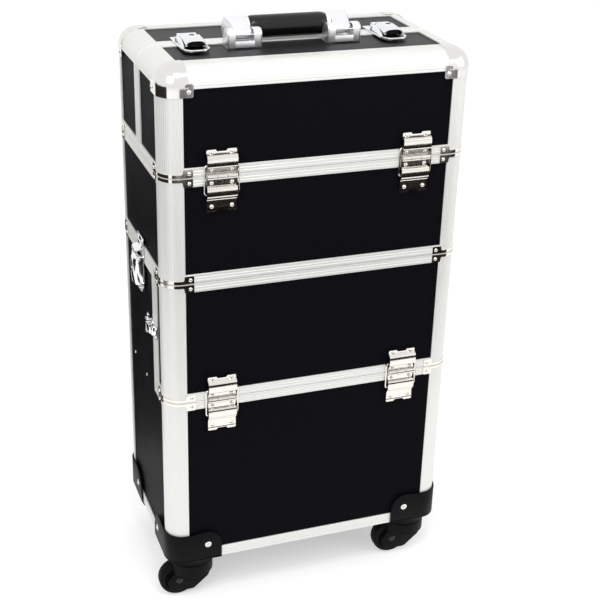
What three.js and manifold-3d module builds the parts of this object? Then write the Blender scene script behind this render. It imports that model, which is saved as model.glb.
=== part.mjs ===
// Rolling makeup train case: four tiers on swivel casters, in millimetres with +Z up.
// The origin is on the floor under the middle of the case, +X is the right side and +Y the back.
// From the floor up: a deep base, a tier behind a drop-down door, a lift-off upper case, and two
// half lids that open to the front and the back and carry cantilever trays.
import * as THREE from 'three';
import { RoundedBoxGeometry } from 'three/addons/geometries/RoundedBoxGeometry.js';
import { mergeVertices } from 'three/addons/utils/BufferGeometryUtils.js';
import Module from 'manifold-3d';

const wasm = await Module();
wasm.setup();

// ---------------------------------------------------------------- driving dimensions
// Case body
const CASE_WIDTH = 360;
const CASE_DEPTH = 213;
const BASE_TIER = 226.4;
const DOOR_TIER = 151.2;
const MIDDLE_TIER = 124.4;
const LID_TIER = 119;
const DOOR_DEPTH = 48.6;
const EDGE_RADIUS = 21;
const GROUND_CLEARANCE = 65;
const SEAM_GAP = 0.5;
const GAP = 0.3; // between solids that seat on each other

// Aluminium frame and panel boards
const FRAME_SKIN = 1.6;
const BOARD = 5;
const POST_WIDTH = 24.8;
const RAIL_HEIGHT = 10.6;
const BASE_RAIL = 14.3;
const TOP_RAIL = 22.4;
const SPLIT_RAIL = 11.5;
const JAMB_RAIL = 10.8;
const LID_BORDER_FRONT = 32.4;
const LID_BORDER_SIDE = 26.2;

// Straps round the corner posts at every seam, and ball corners on the lids
const STRAP_SKIN = 0.9;
const STRAP_START = 0.8;
const STRAP_BAND = 3.5;
const STRAP_HEIGHT = 9.3;
const STRAP_TAB = 23;
const STRAP_REACH = 34.6;
const CORNER_CAP = 33;

// Stop hinges: two leaves, a knuckle at the seam and a wire ring that holds the lid level
const HINGE_INSET = 66;
const LEAF_WIDTH = 34;
const LEAF_SHEET = 1.4;
const UPPER_LEAF = 30;
const LOWER_LEAF = 41;
const LEAF_NOTCH_WIDTH = 13;
const LEAF_NOTCH_DEPTH = 3;
const KNUCKLE_RADIUS = 3.2;
const HINGE_PIN_RADIUS = 1.4;
const RING_WIRE = 1.15;
const RING_WIDTH = 38.2;
const RING_HEIGHT = 33;
const RING_PIVOT_DROP = 20.5;
const RING_STANDOFF = 1.5;
const RING_CORNER = 3;
const RING_TRAVEL = 9;
const RING_LIFT = 3;
const CHANNEL_WALL = 1.2;
const RIVET_RADIUS = 2.3;
const RIVET_COLUMN = 11.5;

// Key latches
const LATCH_WIDTH = 30;
const LATCH_BASE_LENGTH = 52;
const LATCH_KEEPER_LENGTH = 21;
const LATCH_SHEET = 1.5;
const LATCH_HEIGHT = 13;
const LATCH_FLANGE = 2;
const LATCH_PIVOT_INSET = 6;
const LATCH_PIN_RADIUS = 2;
const LATCH_INSET = 64; // of a top latch from the case's side
const LATCH_CREST = [24, 32]; // the flat top of the lever, from the seam
const LATCH_ROSETTE = 4;
const KEEPER_RIVET = 8;
const PLATE_CORNER = 3;
const TOP_HARDWARE_OFFSET = -6;

// Small door latches
const DOOR_LATCH_HEIGHT = 76;
const DOOR_LATCH_WIDTH = 20;
const DOOR_LATCH_BASE = 32;
const DOOR_LATCH_KEEPER = 14;
const DOOR_LATCH_THICKNESS = 5;
const DOOR_LATCH_PIN = 1.2;
const DOOR_LATCH_RIVET = 5;

// Carry handle on the front lid
const HANDLE_SPAN = 116.5;
const HANDLE_OFFSET = -8.2;
const GRIP_CAP = 3.1; // between the grip's end and the arm beside it
const GRIP_RADIUS = 12.8;
const GRIP_SETBACK = 4.5; // setbacks are measured from the split between the lids
const GRIP_LIFT = 14.5;
const BRACKET_SETBACK = 37.5;
const BRACKET_WIDTH = 39;
const BRACKET_LENGTH = 21;
const BRACKET_HEIGHT = 20;
const BRACKET_EAR = 9; // a pressed ear on each side, open towards the arm
const BRACKET_SHEET = 2;
const HANDLE_PIVOT_SETBACK = 27.5;
const HANDLE_PIVOT_LIFT = 13;
const HANDLE_PIN_RADIUS = 2;
const HANDLE_ARM_PLAY = 0.5; // between an ear and the arm
const HANDLE_ARM_FLARE = 4; // outwards, from the bracket to the grip
const HANDLE_ROD_RADIUS = 5;
const BRACKET_SLOT = [7, 13]; // the slot in a bracket's front, above the lid

// Cantilever trays in the lids
const TRAY_SIDE_ROOM = 8.1; // between a tray and the side wall, for the arm
const TRAY_WALL = 2;
const TRAY_REACH = 33.5;
const TRAY_RISE = 30;
const TRAY_STEP = 1.9;
const LOWER_TRAY_HEIGHT = 27.5;
const UPPER_TRAY_HEIGHT = 42;
const LOWER_TRAY_NOSE = 15;
const UPPER_TRAY_NOSE = 38;
const LOWER_TRAY_DROP = 15;
const UPPER_TRAY_DROP = 12.5;
const ARM_BACK = 25;
const ARM_DROP = 8;
const ARM_WIDTH = 8;
const ARM_SHEET = 2;
const TRAY_PIN_RADIUS = 2;

// Divider tray on rails inside the door tier
const DIVIDER_HEIGHT = 26;
const DIVIDER_WALL = 3;
const FINGER_HOLE = [80, 12]; // width and depth
const RUNNER_SIZE = 8;

// Corner protectors and casters
const PROTECTOR_SKIN = 2;
const PROTECTOR_FRONT_LEG = 65.5;
const PROTECTOR_SIDE_LEG = 70;
const PROTECTOR_HEIGHT = 41;
const PROTECTOR_DIP = 2.5;
const PROTECTOR_FRONT_ROUND = 20.5;
const PROTECTOR_SIDE_ROUND = 28;
const PLATE_THICKNESS = 3;
const PLATE_DEPTH = 62;
const COLLAR_RADIUS = 28;
const COLLAR_HEIGHT = 11;
const STEM_RADIUS = 5;
const CASTER_INSET_X = 34;
const CASTER_INSET_Y = 30;
const WHEEL_RADIUS = 24;
const WHEEL_WIDTH = 16;
const WHEEL_TRAIL = 18;
const AXLE_RADIUS = 3;
const FORK_SHEET = 3;
const FORK_RADIUS = 27.5;
const FORK_DROP = 29; // of the hood's rim below the case
const FORK_ROOF = 4;
const WHEEL_CLEARANCE = 1;

// ---------------------------------------------------------------- worked-out sizes
const SIDE = CASE_WIDTH / 2;
const FRONT = -CASE_DEPTH / 2;
const PANEL_INSET = FRAME_SKIN + GAP;
const WALL_INSET = PANEL_INSET + BOARD;
const LOWER_HEIGHT = BASE_TIER + DOOR_TIER;
const UNDERSIDE = GROUND_CLEARANCE;
const SEAM_DOOR = UNDERSIDE + BASE_TIER;
const SEAM_UPPER = UNDERSIDE + LOWER_HEIGHT;
const SEAM_LID = SEAM_UPPER + MIDDLE_TIER;
const HALF_GAP = SEAM_GAP / 2;
const HINGE_PROUD = KNUCKLE_RADIUS + GAP;
const HINGE_X = SIDE - HINGE_INSET;
const LATCH_SPACING = CASE_WIDTH - 2 * LATCH_INSET;
const TRAY_LENGTH = 2 * (SIDE - WALL_INSET - TRAY_SIDE_ROOM);
const HANDLE_ARM_WIDTH = BRACKET_WIDTH - 2 * (BRACKET_EAR + HANDLE_ARM_PLAY);
const GRIP_LENGTH = HANDLE_SPAN - HANDLE_ARM_WIDTH - 2 * GRIP_CAP;
const FAR = 2 * (CASE_WIDTH + CASE_DEPTH + LOWER_HEIGHT); // longer than any piece, for cutting tools

// ---------------------------------------------------------------- materials
const aluminium = new THREE.MeshStandardMaterial({ color: 0xd9dad6, roughness: 0.35, metalness: 0.9 });
const panel = new THREE.MeshStandardMaterial({ color: 0x14151a, roughness: 0.6, metalness: 0.1 });
const chrome = new THREE.MeshStandardMaterial({ color: 0xd8d4cc, roughness: 0.12, metalness: 1 });
const blackPlastic = new THREE.MeshStandardMaterial({ color: 0x101114, roughness: 0.5, metalness: 0 });
const wheelRubber = new THREE.MeshStandardMaterial({ color: 0x0a0a0b, roughness: 0.7, metalness: 0 });
const trayPlastic = new THREE.MeshStandardMaterial({ color: 0x1b1c1f, roughness: 0.55, metalness: 0 });

// ---------------------------------------------------------------- solid helpers
function solid(geometry) {
  const bare = new THREE.BufferGeometry();
  bare.setAttribute('position', geometry.getAttribute('position').clone());
  if (geometry.index) bare.setIndex(geometry.index.clone());
  const merged = mergeVertices(bare, 1e-4);
  const mesh = new wasm.Mesh({
    numProp: 3,
    vertProperties: Float32Array.from(merged.getAttribute('position').array),
    triVerts: Uint32Array.from(merged.index.array),
  });
  return new wasm.Manifold(mesh);
}

function union(solids) {
  return solids.reduce((sum, next) => sum.add(next));
}

function block([x0, x1], [y0, y1], [z0, z1]) {
  const box = new THREE.BoxGeometry(x1 - x0, y1 - y0, z1 - z0);
  return solid(box.translate((x0 + x1) / 2, (y0 + y1) / 2, (z0 + z1) / 2));
}

// A profile drawn in X and Y, extruded from z0 to z1
function prism(shape, [z0, z1], curveSegments = 4) {
  const geometry = new THREE.ExtrudeGeometry(shape, { depth: z1 - z0, bevelEnabled: false, curveSegments });
  return solid(geometry.translate(0, 0, z0));
}

// A profile drawn in Y and Z, extruded along X
function extrudeX(shape, [x0, x1], curveSegments = 3) {
  const geometry = new THREE.ExtrudeGeometry(shape, { depth: x1 - x0, bevelEnabled: false, curveSegments });
  geometry.translate(0, 0, x0);
  const axes = [new THREE.Vector3(0, 1, 0), new THREE.Vector3(0, 0, 1), new THREE.Vector3(1, 0, 0)];
  return solid(geometry.applyMatrix4(new THREE.Matrix4().makeBasis(...axes)));
}

// A profile drawn in X and Z, extruded along Y
function extrudeY(shape, [y0, y1], curveSegments = 3) {
  const geometry = new THREE.ExtrudeGeometry(shape, { depth: y1 - y0, bevelEnabled: false, curveSegments });
  geometry.translate(0, 0, -y1);
  const axes = [new THREE.Vector3(1, 0, 0), new THREE.Vector3(0, 0, 1), new THREE.Vector3(0, -1, 0)];
  return solid(geometry.applyMatrix4(new THREE.Matrix4().makeBasis(...axes)));
}

// A round bar along X, Y or Z
function bar(axis, radius, [from, to], [a, b], sides = 8) {
  const geometry = new THREE.CylinderGeometry(radius, radius, to - from, sides);
  const middle = (from + to) / 2;
  if (axis === 'x') geometry.rotateZ(-Math.PI / 2).translate(middle, a, b);
  if (axis === 'y') geometry.translate(a, middle, b);
  if (axis === 'z') geometry.rotateX(Math.PI / 2).translate(a, b, middle);
  return solid(geometry);
}

// A round bore: its flats lie at the radius, so a bar as thick as that turns in it freely
function hole(axis, radius, span, at, sides = 8) {
  return bar(axis, radius / Math.cos(Math.PI / sides), span, at, sides);
}

// A profile of (radius, z) points turned round the Z axis
function turned(points, sides = 24) {
  const profile = points.map(([r, z]) => new THREE.Vector2(r, z));
  return solid(new THREE.LatheGeometry(profile, sides).rotateX(Math.PI / 2));
}

function rectangle([a0, a1], [b0, b1], radius = 0) {
  const shape = new THREE.Shape();
  if (radius <= 0) {
    shape.moveTo(a0, b0).lineTo(a1, b0).lineTo(a1, b1).lineTo(a0, b1).closePath();
    return shape;
  }
  shape.absarc(a1 - radius, b0 + radius, radius, -Math.PI / 2, 0);
  shape.absarc(a1 - radius, b1 - radius, radius, 0, Math.PI / 2);
  shape.absarc(a0 + radius, b1 - radius, radius, Math.PI / 2, Math.PI);
  shape.absarc(a0 + radius, b0 + radius, radius, Math.PI, 1.5 * Math.PI);
  return shape;
}

function piece(name, manifold, material) {
  const { vertProperties, triVerts, numProp } = manifold.getMesh();
  const positions = new Float32Array((vertProperties.length / numProp) * 3);
  for (let i = 0; i < positions.length / 3; i++) {
    for (let k = 0; k < 3; k++) positions[3 * i + k] = vertProperties[numProp * i + k];
  }
  const geometry = new THREE.BufferGeometry();
  geometry.setAttribute('position', new THREE.BufferAttribute(positions, 3));
  geometry.setIndex(new THREE.BufferAttribute(Uint32Array.from(triVerts), 1));
  const mesh = new THREE.Mesh(geometry, material);
  mesh.name = name;
  return mesh;
}

function place(object, x, y, z, turnZ = 0) {
  object.position.set(x, y, z);
  object.rotation.z = turnZ;
  return object;
}

// ---------------------------------------------------------------- tier outlines
// Every tier has the same plan: a rectangle with round vertical edges, drawn inset from the outside
function tierPlan(inset) {
  const halfDepth = CASE_DEPTH / 2 - inset;
  return rectangle([inset - SIDE, SIDE - inset], [-halfDepth, halfDepth], EDGE_RADIUS - inset);
}

function tierBlock(inset, height) {
  return prism(tierPlan(inset), height);
}

// A half lid with round top edges; the seam is at z = 0 and the split at y = 0
function lidBlock(inset) {
  const size = [CASE_WIDTH - 2 * inset, CASE_DEPTH - 2 * inset, 2 * (LID_TIER - inset)];
  const dome = solid(new RoundedBoxGeometry(...size, 3, EDGE_RADIUS - inset));
  return dome.intersect(block([-FAR, FAR], [-FAR, -HALF_GAP], [HALF_GAP, FAR]));
}

function windowX([y0, y1], [z0, z1]) {
  return block([-FAR, FAR], [y0, y1], [z0, z1]);
}

function windowFront([z0, z1]) {
  return block([POST_WIDTH - SIDE, SIDE - POST_WIDTH], [-FAR, 0], [z0, z1]);
}

function windowRear([z0, z1]) {
  return block([POST_WIDTH - SIDE, SIDE - POST_WIDTH], [0, FAR], [z0, z1]);
}

// ---------------------------------------------------------------- corner straps and caps
// The four corner columns of the plan, as wide along each side as their reach
function cornerColumns(reach) {
  const x = SIDE - reach;
  const y = -FRONT - reach;
  const all = block([-FAR, FAR], [-FAR, FAR], [-FAR, FAR]);
  return all.subtract(block([-x, x], [-2 * FAR, 2 * FAR], [-2 * FAR, 2 * FAR]))
    .subtract(block([-2 * FAR, 2 * FAR], [-y, y], [-2 * FAR, 2 * FAR]));
}

// Straps from a seam upwards (1) or downwards (-1): a band round each post and a tab at both its ends
function cornerStraps(seam, way) {
  const level = (height) => [seam + way * STRAP_START, seam + way * height].sort((a, b) => a - b);
  const skin = (height) => tierBlock(-STRAP_SKIN, level(height)).subtract(tierBlock(FRAME_SKIN, [-FAR, FAR]));
  const columns = cornerColumns(STRAP_REACH);
  const tabs = columns.subtract(cornerColumns(STRAP_TAB));
  return skin(STRAP_BAND).intersect(columns).add(skin(STRAP_HEIGHT).intersect(tabs));
}

function frontHalf(manifold) {
  return manifold.intersect(block([-FAR, FAR], [-FAR, 0], [-FAR, FAR]));
}

// A ball corner over each of the front lid's two top corners
function lidCaps(inside) {
  const shell = lidBlock(-STRAP_SKIN).subtract(inside);
  const ball = solid(new THREE.SphereGeometry(CORNER_CAP, 10, 6));
  return union([-SIDE, SIDE].map((x) => shell.intersect(ball.translate([x, FRONT, LID_TIER]))));
}

// ---------------------------------------------------------------- stop hinge
// Drawn on a face that looks to -Y: x across the hinge, y = 0 the face, z = 0 the seam
const SHEET_FACE = GAP + LEAF_SHEET;
const RING_REST_TOP = RING_HEIGHT - RING_PIVOT_DROP;
const CHANNEL_SPARE = RING_WIRE + 0.4;

function channel(z0, z1, height) {
  const wall = CHANNEL_WALL;
  const outer = rectangle([-height - wall, height + wall], [z0 - wall, z1 + wall], 3);
  const inner = rectangle([-height, height], [z0, z1], 1.8);
  return { outer, inner };
}

// The far end of a leaf has a notch between two tabs
function leafSheet([near, far], hump) {
  const half = LEAF_WIDTH / 2;
  const notch = [-LEAF_NOTCH_WIDTH / 2, LEAF_NOTCH_WIDTH / 2];
  const end = [far - Math.sign(far) * LEAF_NOTCH_DEPTH, 2 * far].sort((a, b) => a - b);
  const front = block([-half, half], [-FAR, -GAP], [-FAR, FAR]);
  const sheet = block([-half, half], [-SHEET_FACE, -GAP], [near, far].sort((a, b) => a - b));
  const raised = extrudeX(hump.outer, [-half, half], 1).intersect(front);
  return sheet
    .subtract(block(notch, [-FAR, FAR], end))
    .add(raised)
    .subtract(extrudeX(hump.inner, [-half - 1, half + 1], 1));
}

const KNUCKLE_MIDDLE = LEAF_WIDTH / 3;
const LEAF_START = KNUCKLE_RADIUS + GAP;

// The leaf on the lid or door, with the two outer knuckles
function upperLeaf() {
  const top = RING_REST_TOP + RING_TRAVEL + CHANNEL_SPARE;
  const hump = channel(RING_REST_TOP - CHANNEL_SPARE, top, RING_STANDOFF + RING_LIFT + CHANNEL_SPARE);
  let leaf = leafSheet([LEAF_START, UPPER_LEAF], hump);
  for (const side of [-1, 1]) {
    const span = [KNUCKLE_MIDDLE / 2 + GAP, LEAF_WIDTH / 2].map((x) => side * x).sort((a, b) => a - b);
    leaf = leaf.add(bar('x', KNUCKLE_RADIUS, span, [-HINGE_PROUD, 0]));
    leaf = leaf.add(block(span, [-SHEET_FACE, -GAP], [0, LEAF_START + 1]));
  }
  return leaf.subtract(hole('x', HINGE_PIN_RADIUS + GAP, [-LEAF_WIDTH, LEAF_WIDTH], [-HINGE_PROUD, 0]));
}

// The leaf on the body below, with the middle knuckle and the pin
function lowerLeaf() {
  const bottom = -RING_PIVOT_DROP - CHANNEL_SPARE;
  const hump = channel(bottom, -RING_REST_TOP, RING_STANDOFF + CHANNEL_SPARE + 0.8);
  const middle = [-KNUCKLE_MIDDLE / 2, KNUCKLE_MIDDLE / 2];
  return union([
    leafSheet([-LEAF_START, -LOWER_LEAF], hump),
    bar('x', KNUCKLE_RADIUS, middle, [-HINGE_PROUD, 0]),
    block(middle, [-SHEET_FACE, -GAP], [-LEAF_START - 1, 0]),
    bar('x', HINGE_PIN_RADIUS, [-LEAF_WIDTH / 2, LEAF_WIDTH / 2], [-HINGE_PROUD, 0]),
  ]);
}

// Shanks that carry a leaf's rivets back to the panel board behind it
function leafShanks(z) {
  const shank = (x) => bar('y', RIVET_RADIUS * 0.8, [-SHEET_FACE, PANEL_INSET + 1], [x, z], 6);
  return shank(-RIVET_COLUMN).add(shank(RIVET_COLUMN));
}

// The wire ring, drawn with its lower bar on the X axis; bevels make the wire eight-sided
function hingeRing() {
  const x = RING_WIDTH / 2;
  const core = RING_WIRE * Math.tan(Math.PI / 8);
  const bevel = RING_WIRE - core;
  const ring = rectangle([-x - core, x + core], [-core, RING_HEIGHT + core], RING_CORNER);
  ring.holes.push(rectangle([core - x, x - core], [core, RING_HEIGHT - core], RING_CORNER - 2 * core));
  const options = { depth: 2 * core, bevelThickness: bevel, bevelSize: bevel, bevelSegments: 1, curveSegments: 1 };
  const geometry = new THREE.ExtrudeGeometry(ring, options);
  return solid(geometry.translate(0, 0, -core).rotateX(Math.PI / 2));
}

const upperLeafSolid = upperLeaf();
const lowerLeafSolid = lowerLeaf();
const ringSolid = hingeRing();

// ---------------------------------------------------------------- key latch
// Drawn on a face that looks to +Z: y = 0 the seam, the lever side is y < 0, the keeper y > 0
const LATCH_FACE = GAP + LATCH_SHEET;
const LEVER_WIDTH = LATCH_WIDTH - 2 * LATCH_FLANGE - 2 * GAP;
const LATCH_PIVOT_Z = LATCH_FACE + LATCH_PIN_RADIUS + 2.5;

function latchFlangeProfile() {
  const rear = -SEAM_GAP - 1;
  const shape = new THREE.Shape();
  shape.moveTo(rear, GAP);
  shape.lineTo(rear, LATCH_PIVOT_Z);
  shape.quadraticCurveTo(rear - 2, LATCH_HEIGHT * 0.75, rear - 14, LATCH_HEIGHT * 0.72);
  shape.quadraticCurveTo(-LATCH_BASE_LENGTH * 0.6, LATCH_HEIGHT * 0.6, -LATCH_BASE_LENGTH * 0.72, GAP);
  return shape;
}

function latchBase() {
  const half = LATCH_WIDTH / 2;
  const outline = rectangle([-half, half], [-LATCH_BASE_LENGTH, -SEAM_GAP], PLATE_CORNER);
  const plate = prism(outline, [GAP, LATCH_FACE], 2);
  const flange = extrudeX(latchFlangeProfile(), [0, LATCH_FLANGE]);
  return union([
    plate,
    flange.translate([-half, 0, 0]),
    flange.translate([half - LATCH_FLANGE, 0, 0]),
    bar('x', LATCH_PIN_RADIUS, [-half + 1, half - 1], [-LATCH_PIVOT_INSET, LATCH_PIVOT_Z]),
  ]);
}

// The lever is a domed cover that turns up on the pin next to the seam
function latchLever() {
  const floor = LATCH_FACE + GAP;
  const nose = LATCH_PIVOT_Z - floor;
  const tip = -LATCH_BASE_LENGTH + 2 * RIVET_RADIUS + 2;
  const shape = new THREE.Shape();
  shape.moveTo(tip, floor);
  shape.lineTo(-LATCH_PIVOT_INSET, floor);
  shape.absarc(-LATCH_PIVOT_INSET, LATCH_PIVOT_Z, nose, -Math.PI / 2, Math.PI / 2);
  shape.quadraticCurveTo(-LATCH_CREST[0] + 8, LATCH_HEIGHT, -LATCH_CREST[0], LATCH_HEIGHT);
  shape.lineTo(-LATCH_CREST[1], LATCH_HEIGHT);
  shape.quadraticCurveTo(tip + 3, LATCH_HEIGHT - 1, tip, floor + 4);
  const half = LEVER_WIDTH / 2;
  const hollow = rectangle([tip - 5, tip + 12], [floor - 1, floor + 5.5], 2);
  return extrudeX(shape, [-half, half], 4)
    .subtract(extrudeX(hollow, [-half + 3, half - 3], 1))
    .subtract(hole('x', LATCH_PIN_RADIUS + GAP, [-LATCH_WIDTH, LATCH_WIDTH], [-LATCH_PIVOT_INSET, LATCH_PIVOT_Z]))
    .add(bar('z', LATCH_ROSETTE, [LATCH_HEIGHT - 1, LATCH_HEIGHT + 0.8], [0, -(LATCH_CREST[0] + LATCH_CREST[1]) / 2], 10));
}

function latchKeeper() {
  const half = LATCH_WIDTH / 2;
  const outline = rectangle([-half, half], [SEAM_GAP, LATCH_KEEPER_LENGTH], PLATE_CORNER);
  const plate = prism(outline, [GAP, LATCH_FACE], 2);
  const shape = new THREE.Shape();
  shape.moveTo(SEAM_GAP, GAP);
  shape.lineTo(LATCH_KEEPER_LENGTH * 0.62, GAP);
  shape.quadraticCurveTo(LATCH_KEEPER_LENGTH * 0.6, LATCH_HEIGHT * 0.5, SEAM_GAP + 5, LATCH_HEIGHT * 0.62);
  shape.lineTo(SEAM_GAP, LATCH_HEIGHT * 0.6);
  return plate.add(extrudeX(shape, [PLATE_CORNER - half, half - PLATE_CORNER]));
}

// Rivet shanks under a keeper, down to the board at the given depth
function keeperShanks(depth) {
  const y = LATCH_KEEPER_LENGTH - RIVET_RADIUS - 1;
  const shank = (x) => bar('z', RIVET_RADIUS * 0.8, [-depth, LATCH_FACE], [x, y], 6);
  return shank(-KEEPER_RIVET).add(shank(KEEPER_RIVET));
}

const latchBaseSolid = latchBase();
const latchLeverSolid = latchLever();
const latchKeeperSolid = latchKeeper();

// Turns a latch solid or mesh from the drawing plane to the left (-1) or right (+1) side of the case
function sideBasis(side) {
  const out = new THREE.Vector3(side, 0, 0);
  const up = new THREE.Vector3(0, 0, 1);
  return new THREE.Matrix4().makeBasis(new THREE.Vector3().crossVectors(up, out), up, out);
}

function onSide(manifold, side, x, y, z) {
  const matrix = sideBasis(side).setPosition(x, y, z);
  return manifold.transform(matrix.elements);
}

function placeOnSide(mesh, side, x, y, z) {
  mesh.quaternion.setFromRotationMatrix(sideBasis(side));
  mesh.position.set(x, y, z);
  return mesh;
}

// ---------------------------------------------------------------- small door latch
// Drawn like a key latch: y = 0 the parting line, the lever side is y < 0, the keeper y > 0
const CATCH_PIVOT_Y = -DOOR_LATCH_BASE / 2;
const CATCH_PIVOT_Z = LATCH_FACE + GAP + DOOR_LATCH_THICKNESS / 2;
const CATCH_EAR = 3;

function doorLatchBase() {
  const half = DOOR_LATCH_WIDTH / 2;
  const outline = rectangle([-half, half], [-DOOR_LATCH_BASE, -SEAM_GAP], PLATE_CORNER);
  const plate = prism(outline, [GAP, LATCH_FACE], 2);
  const ear = block([0, CATCH_EAR], [CATCH_PIVOT_Y - 4, CATCH_PIVOT_Y + 4], [GAP, CATCH_PIVOT_Z + 3]);
  const pin = bar('x', DOOR_LATCH_PIN, [1 - half, half - 1], [CATCH_PIVOT_Y, CATCH_PIVOT_Z], 6);
  return union([plate, ear.translate([-half, 0, 0]), ear.translate([half - CATCH_EAR, 0, 0]), pin]);
}

// Shanks from a latch plate down to the board behind the frame
function doorLatchShanks(y) {
  const shank = (x) => bar('z', 1.5, [-PANEL_INSET - 1, LATCH_FACE], [x, y], 6);
  return shank(-DOOR_LATCH_RIVET).add(shank(DOOR_LATCH_RIVET));
}

function doorLatchLever() {
  const half = DOOR_LATCH_WIDTH / 2 - CATCH_EAR - GAP;
  const round = DOOR_LATCH_THICKNESS / 2;
  const z0 = CATCH_PIVOT_Z - round;
  const nose = -SEAM_GAP - 1;
  const shape = new THREE.Shape();
  shape.absarc(CATCH_PIVOT_Y, CATCH_PIVOT_Z, round, Math.PI / 2, 1.5 * Math.PI);
  shape.lineTo(nose, z0);
  shape.lineTo(nose, z0 + round);
  shape.quadraticCurveTo(nose - 4, CATCH_PIVOT_Z + round + 1, CATCH_PIVOT_Y, CATCH_PIVOT_Z + round);
  const bore = hole('x', DOOR_LATCH_PIN + GAP, [-half - 1, half + 1], [CATCH_PIVOT_Y, CATCH_PIVOT_Z], 6);
  return extrudeX(shape, [-half, half]).subtract(bore);
}

function doorLatchKeeper() {
  const half = DOOR_LATCH_WIDTH / 2;
  const outline = rectangle([-half, half], [SEAM_GAP, DOOR_LATCH_KEEPER], PLATE_CORNER);
  const plate = prism(outline, [GAP, LATCH_FACE], 2);
  const hook = rectangle([SEAM_GAP, 7], [GAP, LATCH_FACE + DOOR_LATCH_THICKNESS - 1], 1);
  return plate.add(extrudeX(hook, [4 - half, half - 4], 1));
}

// ---------------------------------------------------------------- lower case: base and door tier
const DOORWAY = [-FAR, FRONT + DOOR_DEPTH];

function doorwayCut(grow) {
  return block([-FAR, FAR], [-FAR, DOORWAY[1] + grow], [BASE_TIER - grow, FAR]);
}

function cornerPlateCut() {
  const x = SIDE - PROTECTOR_FRONT_LEG - GAP;
  const y = -FRONT - PLATE_DEPTH - GAP;
  const cuts = [];
  for (const sx of [-1, 1]) {
    for (const sy of [-1, 1]) {
      const spanX = [sx * x, sx * FAR].sort((a, b) => a - b);
      const spanY = [sy * y, sy * FAR].sort((a, b) => a - b);
      cuts.push(block(spanX, spanY, [-FAR, PLATE_THICKNESS + GAP]));
    }
  }
  return union(cuts);
}

function lowerPanels() {
  const inner = tierPlan(WALL_INSET);
  const shell = tierBlock(PANEL_INSET, [0, LOWER_HEIGHT - HALF_GAP]);
  const behindDoor = block([-FAR, FAR], [DOORWAY[1] - 1, FAR], [BASE_TIER - BOARD - 2, FAR]);
  const baseRoom = prism(inner, [BOARD, BASE_TIER - BOARD - HALF_GAP]);
  const doorRoom = prism(inner, [BASE_TIER - BOARD - 2, FAR]).intersect(behindDoor);
  let body = shell.subtract(baseRoom).subtract(doorRoom).subtract(doorwayCut(HALF_GAP));
  body = body.subtract(cornerPlateCut()).add(dividerRunners());
  const latch = doorLatchBase().add(doorLatchShanks(-DOOR_LATCH_BASE + DOOR_LATCH_RIVET));
  for (const side of [-1, 1]) {
    body = body.add(onDoorSide(latch, side, side * SIDE, DOORWAY[1], BASE_TIER + DOOR_LATCH_HEIGHT));
  }
  return body;
}

// Turns a door latch so that its keeper end points to the front on the left or right side
function doorSideBasis(side) {
  const out = new THREE.Vector3(side, 0, 0);
  const forward = new THREE.Vector3(0, -1, 0);
  return new THREE.Matrix4().makeBasis(new THREE.Vector3().crossVectors(forward, out), forward, out);
}

function onDoorSide(manifold, side, x, y, z) {
  return manifold.transform(doorSideBasis(side).setPosition(x, y, z).elements);
}

// Two angle runners on the side walls carry the divider tray
function dividerRunners() {
  const inner = SIDE - WALL_INSET;
  const y = [DOORWAY[1] + JAMB_RAIL, -FRONT - WALL_INSET - EDGE_RADIUS];
  const z = [BASE_TIER - RUNNER_SIZE, BASE_TIER - RUNNER_SIZE + DIVIDER_WALL];
  const runner = (side) => block([side * (inner - RUNNER_SIZE), side * (inner + 1)].sort((a, b) => a - b), y, z);
  return runner(-1).add(runner(1));
}

function lowerFrame() {
  const rim = LOWER_HEIGHT - HALF_GAP;
  const skin = tierBlock(0, [0, rim]).subtract(tierBlock(FRAME_SKIN, [-1, FAR]));
  const postBack = -FRONT - POST_WIDTH;
  const tall = LOWER_HEIGHT - RAIL_HEIGHT;
  const jamb = DOORWAY[1] + JAMB_RAIL;
  return skin
    .subtract(doorwayCut(HALF_GAP))
    .subtract(windowFront([BASE_RAIL, BASE_TIER - RAIL_HEIGHT]))
    .subtract(windowRear([BASE_RAIL, tall]))
    .subtract(windowX([-postBack, postBack], [BASE_RAIL, BASE_TIER - RAIL_HEIGHT]))
    .subtract(windowX([jamb, postBack], [BASE_RAIL, tall]))
    .subtract(cornerPlateCut())
    .add(frontHalf(cornerStraps(BASE_TIER, -1)))
    .add(cornerStraps(LOWER_HEIGHT, -1).subtract(doorwayCut(HALF_GAP)));
}

function dividerTray() {
  const x = SIDE - WALL_INSET - 1;
  const y = [DOORWAY[1] + 2, -FRONT - WALL_INSET - 1];
  const z = BASE_TIER - RUNNER_SIZE + DIVIDER_WALL + GAP;
  const radius = EDGE_RADIUS - WALL_INSET;
  const wall = DIVIDER_WALL;
  const box = prism(rectangle([-x, x], y, radius), [z, z + DIVIDER_HEIGHT], 4);
  const room = rectangle([wall - x, x - wall], [y[0] + wall, y[1] - wall], radius - wall);
  const [holeWidth, holeDepth] = FINGER_HOLE;
  const rim = z + DIVIDER_HEIGHT;
  const fingerHole = rectangle([-holeWidth / 2, holeWidth / 2], [rim - holeDepth, rim + holeDepth], holeDepth / 2);
  return box
    .subtract(prism(room, [z + wall, FAR], 4))
    .subtract(extrudeY(fingerHole, [-FAR, 0], 3));
}

// ---------------------------------------------------------------- drop-down door
// Drawn with z = 0 at the door's seam; its top is turned to the swing about the hinge line
function doorSwing() {
  return bar('x', DOOR_TIER - HALF_GAP, [-FAR, FAR], [FRONT - HINGE_PROUD, 0], 96);
}

function doorSlice(inset) {
  const slice = block([-FAR, FAR], [-FAR, DOORWAY[1] - HALF_GAP], [HALF_GAP, DOOR_TIER - HALF_GAP]);
  return tierBlock(inset, [0, DOOR_TIER]).intersect(slice).intersect(doorSwing());
}

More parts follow.
